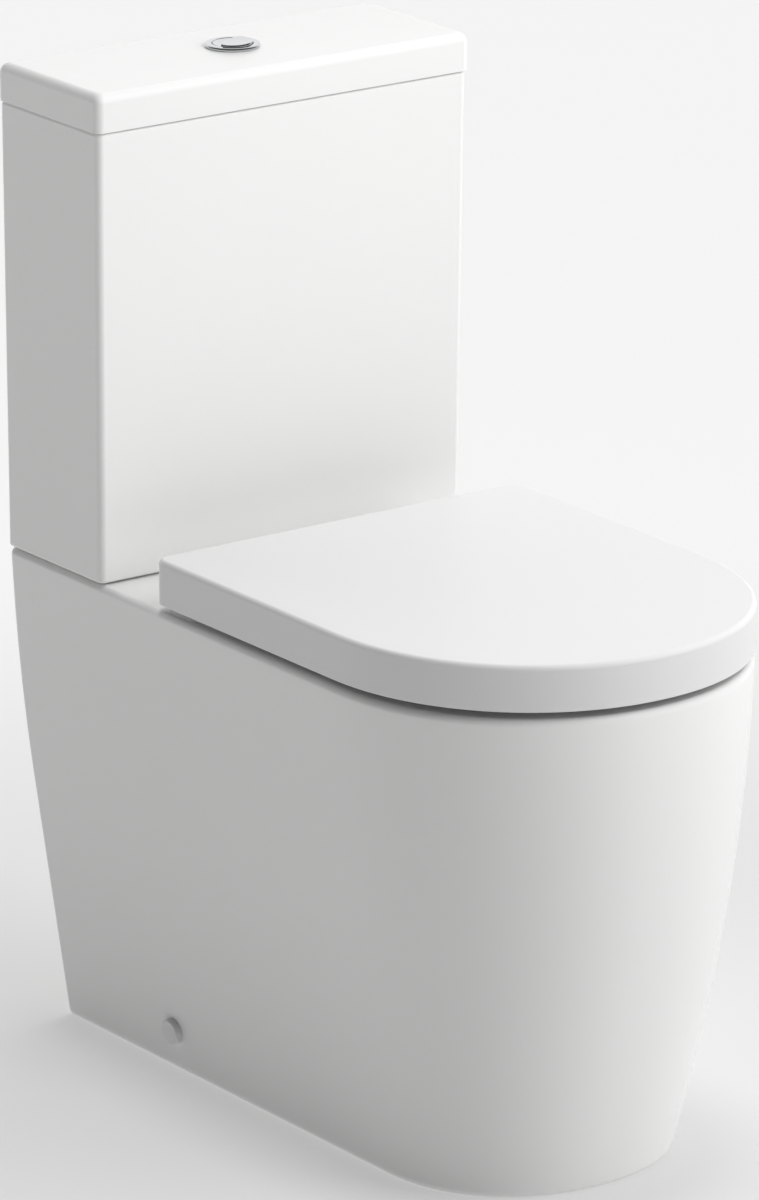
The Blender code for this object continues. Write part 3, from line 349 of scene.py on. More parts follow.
def make_world():
    """Studio wall that is bright behind the object and dim everywhere else."""
    world = bpy.data.worlds.new("studio")
    world.use_nodes = True
    tree = world.node_tree
    tree.nodes["Background"].inputs["Color"].default_value = WHITE
    place = tree.nodes.new("ShaderNodeTexCoord")
    facing = tree.nodes.new("ShaderNodeVectorMath")
    facing.operation = "DOT_PRODUCT"
    facing.inputs[1].default_value = heading(*WALL_HEADING)
    tree.links.new(place.outputs["Generated"], facing.inputs[0])
    glow = ramp(tree, facing.outputs["Value"], WALL_EDGE, WALL_GLOW, "SMOOTHSTEP")
    tree.links.new(glow, tree.nodes["Background"].inputs["Strength"])
    bpy.context.scene.world = world


def make_floor():
    """Large plain floor of pale paint with a faint glow, a little brighter away from the object."""
    bm = bmesh.new()
    bmesh.ops.create_grid(bm, x_segments=8, y_segments=8, size=FLOOR_HALF)
    mesh = bpy.data.meshes.new("floor")
    bm.to_mesh(mesh)
    bm.free()
    floor = bpy.data.objects.new("floor", mesh)
    floor.location.z = -FLOOR_DROP
    paint = surface("floor_paint", FLOOR_PAINT, 0.7, spread=0.003, grain=3.0)
    tree = paint.node_tree
    place = tree.nodes.new("ShaderNodeTexCoord")
    distance = tree.nodes.new("ShaderNodeVectorMath")
    distance.operation = "LENGTH"
    tree.links.new(place.outputs["Object"], distance.inputs[0])
    shader = tree.nodes["Principled BSDF"]
    shader.inputs["Specular IOR Level"].default_value = 0.0
    shader.inputs["Emission Color"].default_value = WHITE
    glow = ramp(tree, distance.outputs["Value"], FLOOR_EDGE, FLOOR_GLOW, "SMOOTHSTEP")
    tree.links.new(glow, shader.inputs["Emission Strength"])
    mesh.materials.append(paint)
    bpy.context.scene.collection.objects.link(floor)


def make_studio():
    make_world()
    for lamp in LAMPS:
        shine(*lamp)
    bpy.context.scene.view_settings.view_transform = "Standard"
    make_floor()


# ---- materials ----


def surface(name, colour, roughness, metal=0.0, gloss=0.5, spread=0.01, grain=8.0, wear=0.03, bump=()):
    """Procedural finish: drifting tone, drifting roughness and one bump for each (scale, height) pair."""
    material = bpy.data.materials.new(name)
    material.use_nodes = True
    tree = material.node_tree
    shader = tree.nodes["Principled BSDF"]
    shader.inputs["Metallic"].default_value = metal
    shader.inputs["Specular IOR Level"].default_value = gloss
    place = tree.nodes.new("ShaderNodeTexCoord")

    def noise(scale, detail=3.0):
        node = tree.nodes.new("ShaderNodeTexNoise")
        node.inputs["Scale"].default_value = scale
        node.inputs["Detail"].default_value = detail
        tree.links.new(place.outputs["Object"], node.inputs["Vector"])
        return node.outputs["Fac"]

    tone = tree.nodes.new("ShaderNodeMix")
    tone.data_type = "RGBA"
    tone.inputs[6].default_value = (*[max(c - spread, 0.0) for c in colour], 1.0)
    tone.inputs[7].default_value = (*[min(c + spread, 1.0) for c in colour], 1.0)
    tree.links.new(noise(grain), tone.inputs[0])
    tree.links.new(tone.outputs[2], shader.inputs["Base Color"])
    limits = (max(roughness - wear, 0.02), roughness + wear)
    rough = ramp(tree, noise(grain * 3.1, 5.0), (0.3, 0.7), limits)
    tree.links.new(rough, shader.inputs["Roughness"])
    last = None
    for scale, height in bump:
        node = tree.nodes.new("ShaderNodeBump")
        node.inputs["Strength"].default_value = 1.0
        node.inputs["Distance"].default_value = height
        tree.links.new(noise(scale), node.inputs["Height"])
        if last:
            tree.links.new(last, node.inputs["Normal"])
        last = node.outputs["Normal"]
    if last:
        tree.links.new(last, shader.inputs["Normal"])
    return material


# One finish for each of the record's slots, and the biscuit where the china is unglazed:
# colour, roughness, metal, gloss, spread, grain, wear and bumps, as surface() takes them
FINISHES = {
    "china": ((0.87, 0.87, 0.866), 0.22, 0.0, 0.32, 0.004, 5.0, 0.02, ((20.0, 0.00008), (260.0, 0.000006))),
    "biscuit": ((0.74, 0.71, 0.66), 0.80, 0.0, 0.5, 0.03, 40.0, 0.08, ((90.0, 0.0002), (900.0, 0.0001))),
    "seat_plastic": (
        (0.76, 0.76, 0.76), 0.33, 0.0, 0.4, 0.003, 6.0, 0.008, ((25.0, 0.00001), (1400.0, 0.000002))
    ),
    "chrome": ((0.67, 0.68, 0.69), 0.07, 1.0, 0.5, 0.01, 60.0, 0.03, ((1500.0, 0.000002),)),
    "steel": ((0.55, 0.55, 0.56), 0.36, 1.0, 0.5, 0.04, 90.0, 0.06, ((900.0, 0.00001),)),
    "rubber": ((0.035, 0.035, 0.037), 0.70, 0.0, 0.5, 0.010, 120.0, 0.10, ((700.0, 0.00005),)),
    "buffer_rubber": ((0.70, 0.70, 0.69), 0.55, 0.0, 0.5, 0.02, 90.0, 0.08, ((600.0, 0.00003),)),
    "white_plastic": ((0.76, 0.77, 0.78), 0.38, 0.0, 0.5, 0.012, 50.0, 0.06, ((800.0, 0.00002),)),
    "grey_plastic": ((0.28, 0.31, 0.34), 0.42, 0.0, 0.5, 0.015, 50.0, 0.06, ((800.0, 0.00002),)),
    "red_seal": ((0.45, 0.06, 0.04), 0.55, 0.0, 0.5, 0.03, 80.0, 0.08, ((600.0, 0.00003),)),
}


# ---- mesh tools ----


def new_object(name, mesh):
    obj = bpy.data.objects.new(name, mesh)
    bpy.context.scene.collection.objects.link(obj)
    return obj


def from_bmesh(name, bm):
    mesh = bpy.data.meshes.new(name)
    bm.to_mesh(mesh)
    bm.free()
    return new_object(name, mesh)


def settle(obj):
    """Makes the object's modifiers and place part of its mesh."""
    bpy.context.view_layer.update()
    graph = bpy.context.evaluated_depsgraph_get()
    mesh = bpy.data.meshes.new_from_object(obj.evaluated_get(graph))
    mesh.transform(obj.matrix_world)
    obj.modifiers.clear()
    obj.data = mesh
    obj.matrix_world = Matrix.Identity(4)
    return obj


def combine(target, others, operation):
    for other in others:
        modifier = target.modifiers.new(operation, "BOOLEAN")
        modifier.operation = operation
        modifier.object = settle(other)
        modifier.material_mode = "TRANSFER"
    settle(target)
    for other in others:
        bpy.data.objects.remove(other)
    return target


def cut(target, *others):
    return combine(target, others, "DIFFERENCE")


def join(target, *others):
    return combine(target, others, "UNION")


def soften(obj, width, segments=3, angle=32):
    """Rounds the edges sharper than this angle."""
    bevel = obj.modifiers.new("Edges", "BEVEL")
    bevel.width = width
    bevel.segments = segments
    bevel.limit_method = "ANGLE"
    bevel.angle_limit = math.radians(angle)
    bevel.use_clamp_overlap = True
    return settle(obj)


def loft(name, rings):
    """Closed skin over rings of equal length, each anticlockwise from above, lowest first."""
    bm = bmesh.new()
    loops = [[bm.verts.new(point) for point in ring] for ring in rings]
    count = len(rings[0])
    for lower, upper in zip(loops, loops[1:]):
        for i in range(count):
            j = (i + 1) % count
            bm.faces.new((lower[i], lower[j], upper[j], upper[i]))
    bm.faces.new(reversed(loops[0]))
    bm.faces.new(loops[-1])
    return from_bmesh(name, bm)


def box(name, start, end):
    bm = bmesh.new()
    bmesh.ops.create_cube(bm, size=1.0)
    size = Vector(end) - Vector(start)
    middle = (Vector(end) + Vector(start)) / 2
    bmesh.ops.transform(bm, matrix=Matrix.Translation(middle) @ Matrix.Diagonal((*size, 1)), verts=bm.verts)
    return from_bmesh(name, bm)


def cylinder(name, radius, start, end, sides=48):
    """Cylinder between two points."""
    axis = Vector(end) - Vector(start)
    bm = bmesh.new()
    radii = {"radius1": radius, "radius2": radius}
    bmesh.ops.create_cone(bm, cap_ends=True, segments=sides, depth=axis.length, **radii)
    turn = axis.to_track_quat("Z", "Y").to_matrix().to_4x4()
    middle = (Vector(start) + Vector(end)) / 2
    bmesh.ops.transform(bm, matrix=Matrix.Translation(middle) @ turn, verts=bm.verts)
    return from_bmesh(name, bm)


def turned(name, profile, place, closed=False, steps=TURN_STEPS, aim=None):
    """Turns a profile of (radius, height), top to bottom on its outer side, about Z or about an aim."""
    mesh = bpy.data.meshes.new(name)
    count = len(profile)
    edges = [(i, i + 1) for i in range(count - 1)]
    if closed:
        edges.append((count - 1, 0))
    mesh.from_pydata([(radius, 0, height) for radius, height in profile], edges, [])
    obj = new_object(name, mesh)
    obj.location = place
    if aim:
        obj.rotation_euler = aim.to_track_quat("Z", "Y").to_euler()
    screw = obj.modifiers.new("Screw", "SCREW")
    screw.steps = steps
    screw.render_steps = steps
    screw.use_merge_vertices = True
    screw.merge_threshold = 0.00001
    return settle(obj)


def washer(name, outer, inner, bottom, top, place, steps=TURN_STEPS):
    profile = [(outer, top), (outer, bottom), (inner, bottom), (inner, top)]
    return turned(name, profile, place, closed=True, steps=steps)


def hex_nut(name, outer, bore, bottom, top, place):
    """Six-sided nut with chamfered corners and a round bore."""
    x, y = place[:2]
    nut = cylinder(name, outer, (x, y, bottom), (x, y, top), 6)
    chamfer = 0.12 * outer
    cone = [
        (outer - chamfer, top + 0.00001),
        (outer + 0.0002, top - chamfer * 0.55),
        (outer + 0.0002, bottom + chamfer * 0.55),
        (outer - chamfer, bottom - 0.00001),
        (bore, bottom - 0.00001),
        (bore, top + 0.00001),
    ]
    return combine(nut, [turned(name + "_turning", cone, (x, y, 0), closed=True)], "INTERSECT")


def threads(radius, top, bottom, pitch, depth):
    """Profile points of a threaded stretch, from its top down."""
    count = int((top - bottom) / pitch)
    points = []
    for i in range(count):
        z = top - pitch * i
        points += [(radius - depth, z), (radius, z - pitch * 0.4), (radius, z - pitch * 0.6)]
    points.append((radius - depth, top - pitch * count))
    return points


def catmull_rom(p, q, r, s, t):
    """Value a share t of the way from q to r."""
    bend = (2 * p - 5 * q + 4 * r - s) * t * t
    twist = (3 * q - p - 3 * r + s) * t**3
    return 0.5 * (2 * q + (r - p) * t + bend + twist)


def smooth_route(points, steps):
    """Points on a Catmull-Rom curve through the given ones."""
    ends = [points[0]] + list(points) + [points[-1]]
    route = []
    for a, b, c, d in zip(ends, ends[1:], ends[2:], ends[3:]):
        for i in range(steps):
            route.append(tuple(catmull_rom(*values, i / steps) for values in zip(a, b, c, d)))
    route.append(tuple(points[-1]))
    return route


def pipe(name, points, radius, resolution=14):
    """Round tube along the points."""
    curve = bpy.data.curves.new(name, "CURVE")
    curve.dimensions = "3D"
    curve.bevel_depth = radius
    curve.bevel_resolution = resolution
    curve.use_fill_caps = True
    spline = curve.splines.new("POLY")
    spline.points.add(len(points) - 1)
    for spot, point in zip(spline.points, points):
        spot.co = (*point, 1.0)
    guide = new_object(name + "_route", curve)
    graph = bpy.context.evaluated_depsgraph_get()
    bm = bmesh.new()
    bm.from_mesh(bpy.data.meshes.new_from_object(guide.evaluated_get(graph)))
    bpy.data.objects.remove(guide)
    bmesh.ops.remove_doubles(bm, verts=bm.verts, dist=0.00001)
    bmesh.ops.recalc_face_normals(bm, faces=bm.faces)
    return from_bmesh(name, bm)


def superellipse(half, length, centre, power, start, turn, steps):
    """Points of a superellipse about (0, centre), on an arc from a start angle through a turn."""
    points = []
    for i in range(steps + 1):
        angle = start + turn * i / steps
        c = math.cos(angle)
        s = math.sin(angle)
        x = half * math.copysign(abs(c) ** (2 / power), c)
        y = length * math.copysign(abs(s) ** (2 / power), s)
        points.append((x, centre + y))
    return points


def corner_arc(x, y, radius, start):
    points = []
    for i in range(CORNER_STEPS + 1):
        angle = start + math.pi / 2 * i / CORNER_STEPS
        points.append((x + radius * math.cos(angle), y + radius * math.sin(angle)))
    return points


def d_outline(half, back_out, front_out, curve, power, corner, z):
    """Straight back and sides with rounded back corners, and a superelliptic front."""
    points = superellipse(half, curve, out(front_out - curve), power, math.pi, math.pi, FRONT_STEPS)
    back = out(back_out) - corner
    points += corner_arc(half - corner, back, corner, 0)
    points += corner_arc(corner - half, back, corner, math.pi / 2)
    return [(x, y, z) for x, y in points]


def box_outline(half, back_out, front_out, corner, z):
    """Rectangle with four rounded corners."""
    points = corner_arc(corner - half, out(front_out) + corner, corner, math.pi)
    points += corner_arc(half - corner, out(front_out) + corner, corner, 1.5 * math.pi)
    points += corner_arc(half - corner, out(back_out) - corner, corner, 0)
    points += corner_arc(corner - half, out(back_out) - corner, corner, 0.5 * math.pi)
    return [(x, y, z) for x, y in points]


def quarter(radius, steps=ROUND_STEPS):
    """Inset and drop of a rounded edge, from its side up to its top."""
    angles = [math.pi / 2 * i / steps for i in range(steps + 1)]
    return [(radius * (1 - math.cos(a)), radius * (1 - math.sin(a))) for a in angles]


def piece(obj, nodes, body, slot, painted=False, sharp=30):
    """Finishes a piece: smooth shading, its material unless it has some, its body and its CAD nodes."""
    mesh = obj.data
    if not painted:
        mesh.materials.clear()
        mesh.materials.append(finishes[slot])
        mesh.polygons.foreach_set("material_index", [0] * len(mesh.polygons))
    mesh.shade_smooth()
    mesh.set_sharp_from_angle(angle=math.radians(sharp))
    weighted = obj.modifiers.new("Weighted normals", "WEIGHTED_NORMAL")
    weighted.keep_sharp = True
    weighted.weight = 80
    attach(obj, body)
    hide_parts(*nodes)


def hole_through(name, x, distance, radius, low_z, high_z, sides=48):
    """Upright cutter this far out from the wall, run past both heights."""
    y = out(distance)
    return cylinder(name, radius, (x, y, low_z - RUN_OUT), (x, y, high_z + RUN_OUT), sides)


def grips(count, spread, radius, place, low_z, high_z, sides=20):
    """Upright cutters evenly spaced round a place."""
    rods = []
    for i in range(count):
        angle = 2 * math.pi * i / count
        x, y = place[0] + spread * math.cos(angle), place[1] + spread * math.sin(angle)
        rods.append(cylinder("grip", radius, (x, y, low_z), (x, y, high_z), sides))
    return rods


# ---- pan ----


def pan_half(z):
    if z <= STRAIGHT_SIDE_Z:
        return FOOT_HALF + SIDE_SLOPE * z
    rise = z - STRAIGHT_SIDE_Z
    loss = (SIDE_SLOPE - SIDE_SLOPE_TOP) / (2 * (WIDEST_Z - STRAIGHT_SIDE_Z))
    return FOOT_HALF + SIDE_SLOPE * z - loss * rise * rise


def pan_reach(z):
    return FOOT_REACH + FRONT_SLOPE * z - FRONT_SLOPE_LOSS * z * z / (2 * WIDEST_Z)


def pan_outline(z, inset=0.0, back=0.0, level=None):
    """Outline of the pan at height z, drawn inset, and placed at another level where one is given."""
    share = (pan_half(z) - FOOT_HALF) / (pan_half(WIDEST_Z) - FOOT_HALF)
    curve = FRONT_CURVE_FOOT + FRONT_CURVE_GAIN * share - inset
    power = FRONT_POWER_FOOT - FRONT_POWER_LOSS * share
    corner = max(PAN_CORNER_R - inset, MIN_CORNER_R)
    height = z if level is None else level
    return d_outline(pan_half(z) - inset, back, pan_reach(z) - inset, curve, power, corner, height)


def pan_skirt():
    shell = [pan_outline(drop, FOOT_INSET * (1 - drop / FOOT_R) ** 2) for drop in FOOT_DROPS]
    span = DECK_Z - SHOULDER_R - SHOULDER_GAP
    shell += [pan_outline(SKIRT_START + span * i / PAN_LEVELS) for i in range(PAN_LEVELS + 1)]
    shell += [pan_outline(DECK_Z - drop, inset, inset / 2) for inset, drop in quarter(SHOULDER_R)]
    return loft("pan_body", shell)


def pan_hollow():
    rings = [pan_outline(0.0, PAN_WALL + 0.002, PAN_WALL, -RUN_OUT)]
    span = DECK_LOW_Z - HOLLOW_R - HOLLOW_START
    rings += [pan_outline(HOLLOW_START + span * i / 8, PAN_WALL, PAN_WALL) for i in range(9)]
    for inset, drop in quarter(HOLLOW_R, 4)[1:]:
        rings.append(pan_outline(DECK_LOW_Z - drop, PAN_WALL + inset, PAN_WALL + inset))
    return loft("pan_hollow", rings)


def back_opening():
    heights = (-RUN_OUT, BACK_TOP_Z)
    rings = [box_outline(half, -0.02, 0.02, 0.004, z) for half, z in zip(BACK_HALF, heights)]
    return loft("back_opening", rings)


def bowl_ring(half, length, centre, z, grow):
    points = superellipse(half + grow, length + grow, out(centre), BOWL_POWER, 0, 2 * math.pi, BOWL_STEPS)
    return [(x, y, z) for x, y in points[:-1]]


def bowl_outside():
    rings = [bowl_ring(h, n, c, z - BOWL_WALL / 2, BOWL_WALL) for z, h, n, c in smooth_route(BOWL, 3)]
    rings.append(bowl_ring(*RIM, DECK_Z - PAN_WALL / 2, BOWL_WALL))
    return loft("bowl_outside", rings)


def bowl_inside():
    rings = [bowl_ring(h, n, c, z, 0) for z, h, n, c in smooth_route(BOWL, 5)]
    for flare, drop in quarter(RIM_R):
        rings.append(bowl_ring(*RIM, DECK_Z - drop, flare))
    rings.append(bowl_ring(*RIM, DECK_Z + 0.015, RIM_R + 0.012))
    return loft("bowl_inside", rings)


def trap_pipe(name, radius, extra):
    """The trapway, run past the outlet spigot's end by an extra length."""
    points = smooth_route([(0, out(d), z) for d, z in TRAP_ROUTE], 8)
    points.append((0, out(OUTLET_OUT - extra), TRAP_ROUTE[-1][1]))
    return pipe(name, points, radius)


def upright_hole(name, x, distance, radius):
    y = out(distance)
    return cylinder(name, radius, (x, y, DECK_Z - 0.03), (x, y, DECK_Z + RUN_OUT))


def with_finish(obj, slot):
    obj.data.materials.append(finishes[slot])
    return obj


def make_pan():
    pan = with_finish(pan_skirt(), "china")
    hidden = [pan_hollow(), back_opening()]
    cut(pan, *[with_finish(obj, "biscuit") for obj in hidden])
    shell_half = DUCT_HALF + DUCT_WALL
    walls = (
        (-shell_half, out(DUCT_SHELL_OUT[0]), DUCT_Z[0] - DUCT_WALL),
        (shell_half, out(DUCT_SHELL_OUT[1]), DECK_Z - PAN_WALL / 2),
    )
    boss = ((0, out(VALVE_OUT), DUCT_Z[1] + 0.001), (0, out(VALVE_OUT), DECK_Z - 0.004))
    added = [
        bowl_outside(),
        trap_pipe("trap_outside", TRAP_OUTER_R, 0.0),
        box("duct_outside", *walls),
        cylinder("shelf_boss", BOSS_R, *boss, sides=FINE_STEPS),
    ]
    join(pan, *[with_finish(obj, "biscuit") for obj in added])
    duct = ((-DUCT_HALF, out(DUCT_OUT[0]), DUCT_Z[0]), (DUCT_HALF, out(DUCT_OUT[1]), DUCT_Z[1]))
    recess = ((0, out(VALVE_OUT), RECESS_Z), (0, out(VALVE_OUT), DECK_Z + RUN_OUT))
    hole = ((0, out(VALVE_OUT), DUCT_Z[1] - RUN_OUT), (0, out(VALVE_OUT), RECESS_Z + 0.001))
    bores = [
        bowl_inside(),
        trap_pipe("trap_inside", TRAP_BORE_R, 0.02),
        soften(box("duct_inside", *duct), DUCT_R, 4),
        cylinder("coupling_recess", RECESS_R, *recess, sides=FINE_STEPS),
        cylinder("flush_hole", FLUSH_HOLE_R, *hole),
        upright_hole("fill_tail_hole", FILL_X, FILL_OUT, TAIL_HOLE_R),
    ]
    for sign in (-1, 1):
        bores.append(upright_hole("bolt_hole", sign * BOLT_X, VALVE_OUT, BOLT_HOLE_R))
        bores.append(upright_hole("hinge_hole", sign * HINGE_X, HINGE_OUT, HINGE_HOLE_R))
        cap_ends = (side_point(sign, -CAP_BORE[1]), side_point(sign, RUN_OUT))
        bores.append(cylinder("cap_bore", CAP_BORE[0], *cap_ends))
        screw_ends = (side_point(sign, -0.04), side_point(sign, 0.0))
        bores.append(cylinder("screw_hole", FIXING_BORE[0], *screw_ends))
    cut(pan, *[with_finish(obj, "china") for obj in bores])
    piece(pan, ["pan"], ROOT, "china", painted=True)


# ---- side fixings ----


def side_point(sign, depth):
    """A point on a side fixing's axis, square to the sloping side, this far outside its surface."""
    slope = math.atan(SIDE_SLOPE)
    x = pan_half(FIXING_Z) + depth * math.cos(slope)
    return (sign * x, out(FIXING_OUT), FIXING_Z - depth * math.sin(slope))


def make_side_fixing(side, sign):
    aim = Vector(side_point(sign, 1.0)) - Vector(side_point(sign, 0.0))
    profile = [(0, CAP_RISE)]
    profile += [(CAP_R - inset, CAP_RISE - drop) for inset, drop in reversed(quarter(0.0012, 5))]
    profile += [(CAP_R, GAP), (0.0056, GAP), (0.0056, -0.0024), (0, -0.0024)]
    cap = turned(side + "_cover_cap", profile, side_point(sign, 0.0), aim=aim)
    piece(cap, [side + "_side_cover_cap"], ROOT, "seat_plastic")
    profile = [(0, -0.0028), (0.0046, -0.0034), (0.0052, -0.0066), (0.0022, -0.0067)]
    profile += threads(0.0025, -0.009, -0.037, 0.0018, 0.0006) + [(0, -0.040)]
    screw = turned(side + "_fixing_screw", profile, side_point(sign, 0.0), aim=aim)
    for width, length in ((0.0008, 0.0034), (0.0034, 0.0008)):
        slot = box("cross", (-width, -length, -0.0045), (width, length, 0.0))
        turn = aim.to_track_quat("Z", "Y").to_matrix().to_4x4()
        slot.matrix_world = Matrix.Translation(side_point(sign, 0.0)) @ turn
        cut(screw, slot)
    piece(screw, [side + "_side_screw"], ROOT, "steel")
    node = side + "_floor_bracket"
    start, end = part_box(node)
    bracket = box(side + "_fixing_bracket", start, end)
    middle = (start.x + end.x) / 2
    corner = (middle - 0.010, out(FIXING_OUT + 0.03), 0.006)
    recess = box("recess", corner, (middle + 0.010, out(FIXING_OUT + 0.006), 0.06))
    bore = cylinder("bore", FIXING_BORE[1], side_point(sign, -0.046), side_point(sign, -0.004))
    floor_hole = hole_through("floor_hole", middle, FIXING_OUT + 0.011, 0.003, 0.0, 0.0)
    cut(bracket, recess, bore, floor_hole)
    piece(soften(bracket, 0.0008, 2, 50), [node], ROOT, "white_plastic")


# ---- cistern ----


def tank_outline(z, inset=0.0, corner=TANK_CORNER_R):
    share = (z - TANK_Z) / (TANK_TOP_Z - TANK_Z)
    half = TANK_FOOT[0] + (TANK_HEAD[0] - TANK_FOOT[0]) * share - inset
    front = TANK_FOOT[1] + (TANK_HEAD[1] - TANK_FOOT[1]) * share - inset
    return box_outline(half, inset, front, max(corner - inset / 2, MIN_CORNER_R), z)


def make_tank():
    rings = [tank_outline(TANK_Z + drop, inset) for inset, drop in reversed(quarter(TANK_FOOT_R))]
    rings += [tank_outline(TANK_TOP_Z - drop, inset) for inset, drop in quarter(TANK_RIM_R, 4)]
    tank = loft("tank_body", rings)
    corner, heel = TANK_INSIDE_R
    inside = []
    for inset, drop in reversed(quarter(heel)):
        inside.append(tank_outline(FLOOR_Z + drop, TANK_WALL + inset, corner))
    inside.append(tank_outline(TANK_TOP_Z + RUN_OUT, TANK_WALL, corner))
    floor = (TANK_Z, FLOOR_Z)
    holes = [loft("tank_inside", inside), hole_through("valve_hole", 0, VALVE_OUT, VALVE_HOLE_R, *floor)]
    holes.append(hole_through("fill_hole", FILL_X, FILL_OUT, FILL_HOLE_R, *floor))
    for sign in (-1, 1):
        holes.append(hole_through("bolt_hole", sign * BOLT_X, VALVE_OUT, BOLT_HOLE_R, *floor))
    cut(tank, *holes)
    piece(tank, ["cistern_tank"], ROOT, "china")


def make_cistern_lid():
    def lid_outline(z, inset):
        corner = max(LID_CORNER_R - inset / 2, MIN_CORNER_R)
        return box_outline(LID_HALF - inset, inset, LID_REACH - inset, corner, z)

    step_in, step_up = LID_REBATE
    rings = [lid_outline(LID_Z, step_in), lid_outline(LID_Z + step_up, step_in)]
    foot = reversed(quarter(LID_FOOT_R, 4))
    rings += [lid_outline(LID_Z + step_up + drop, inset) for inset, drop in foot]
    rings += [lid_outline(LID_TOP_Z - drop, inset) for inset, drop in quarter(LID_R)]
    lid = loft("lid_slab", rings)
    hollow = [lid_outline(LID_Z - RUN_OUT, LID_WALL), lid_outline(LID_PLATE_Z - LID_HOLLOW_R, LID_WALL)]
    for inset, drop in quarter(LID_HOLLOW_R, 4)[1:]:
        hollow.append(lid_outline(LID_PLATE_Z - drop, LID_WALL + inset))
    cut(lid, loft("lid_hollow", hollow))
    thick, long, tall = RIB
    inner_half = TANK_HEAD[0] - TANK_WALL - RIB_CLEARANCE
    middle = out(TANK_HEAD[1] / 2)
    bottom, top = LID_Z - tall, LID_PLATE_Z + 0.002
    ribs = []
    for sign in (-1, 1):
        edges = sorted((sign * inner_half, sign * (inner_half - thick)))
        ribs.append(((edges[0], middle - long / 2, bottom), (edges[1], middle + long / 2, top)))
    for near in (TANK_WALL + RIB_CLEARANCE, TANK_HEAD[1] - TANK_WALL - RIB_CLEARANCE - thick):
        ribs.append(((-1.5 * long, out(near + thick), bottom), (1.5 * long, out(near), top)))
    join(lid, *[soften(box("rib", *ends), 0.002, 4) for ends in ribs])
    cut(lid, hole_through("button_hole", 0, VALVE_OUT, BUTTON_HOLE_R, LID_Z, LID_TOP_Z, FINE_STEPS))
    piece(lid, ["cistern_lid"], "cistern_lid", "china")


def on_valve(z=0.0, offset=(0.0, 0.0)):
    return (offset[0], out(VALVE_OUT) + offset[1], z)


def rod_holes(radius, z, sides=48):
    """Cutters for the two push rods' holes."""
    ends = [(on_valve(z - RUN_OUT, spot), on_valve(z + RUN_OUT, spot)) for spot in (FULL_ROD, HALF_ROD)]
    return [cylinder("rod_hole", radius, start, end, sides) for start, end in ends]


def make_bezel():
    top = high("button_bezel")
    under = LID_TOP_Z + GAP
    foot = BEZEL_FLOOR_Z - 0.002
    profile = [(0, BEZEL_FLOOR_Z), (0.0168, BEZEL_FLOOR_Z), (0.0168, top - 0.0009)]
    profile += [(0.01692, top - 0.00045), (0.01725, top - 0.00012), (0.0177, top)]
    crown = [math.pi / 2 * i / 8 for i in range(9)]
    profile += [(BEZEL_R - CROWN_R * (1 - math.sin(a)), top - CROWN_R * (1 - math.cos(a))) for a in crown]
    profile += [(BEZEL_R, under + 0.0003), (BEZEL_R - 0.0003, under), (SLEEVE_R, under)]
    profile += threads(SLEEVE_R, LID_PLATE_Z - 0.001, foot + 0.002, 0.0020, 0.0005)
    profile += [(SLEEVE_R - 0.0005, foot), (0, foot)]
    bezel = turned("chrome_bezel", profile, on_valve(), steps=128)
    piece(cut(bezel, *rod_holes(0.0029, BEZEL_FLOOR_Z)), ["button_bezel"], "cistern_lid", "chrome")
    bottom = low("button_bezel_nut")
    nut = washer("bezel_clamp_nut", 0.026, BUTTON_HOLE_R, bottom, LID_PLATE_Z - GAP, on_valve(), FINE_STEPS)
    cut(nut, *grips(12, 0.0268, 0.0022, on_valve(), bottom - RUN_OUT, bottom + 0.0055))
    piece(soften(nut, 0.0004, 2, 40), ["button_bezel_nut"], "cistern_lid", "white_plastic")


def make_button(name, spot, dish):
    """Half of the button, hollowed by the depth of its dish, with its push rod and spring."""
    node = name + "_flush_button"
    top = high(node)
    profile = [(0, top - dish)]
    profile += [(BUTTON_R * share, top - dish * (1 - share**2)) for share in (0.2, 0.4, 0.6, 0.8, 0.97)]
    profile += [(BUTTON_R, top - dish * 0.05), (BUTTON_R, BUTTON_LOW_Z), (0, BUTTON_LOW_Z)]
    plate = turned(name + "_button_plate", profile, on_valve(), steps=128)
    radius = SPLIT_R - SPLIT_GAP / 2 if name == "full" else SPLIT_R + SPLIT_GAP / 2
    ends = (on_valve(BUTTON_LOW_Z - RUN_OUT, SPLIT), on_valve(top + RUN_OUT, SPLIT))
    split = cylinder(name + "_split", radius, *ends, sides=256)
    combine(plate, [split], "INTERSECT" if name == "full" else "DIFFERENCE")
    piece(soften(plate, 0.0005, 4, 40), [node], node, "chrome")
    foot = low(name + "_flush_rod")
    head = BUTTON_LOW_Z - GAP
    profile = [(0, head), (0.0025, head), (0.0025, foot + 0.0014)]
    profile += [(0.0018, foot + 0.0004), (0.0010, foot), (0, foot)]
    rod = soften(turned(name + "_push_rod", profile, on_valve(0, spot), steps=32), 0.0002, 2)
    piece(rod, [name + "_flush_rod"], node, "white_plastic")
    make_spring(name, spot)


def make_spring(name, spot):
    node = name + "_flush_spring"
    start = low(node) + SPRING_WIRE_R
    end = high(node) - SPRING_WIRE_R
    count = SPRING_TURNS * 28
    points = []
    for i in range(count + 1):
        angle = 2 * math.pi * SPRING_TURNS * i / count
        around = (spot[0] + SPRING_R * math.cos(angle), spot[1] + SPRING_R * math.sin(angle))
        points.append(on_valve(start + (end - start) * i / count, around))
    piece(pipe(name + "_coil_spring", points, SPRING_WIRE_R, 3), [node], "cistern_lid", "steel")


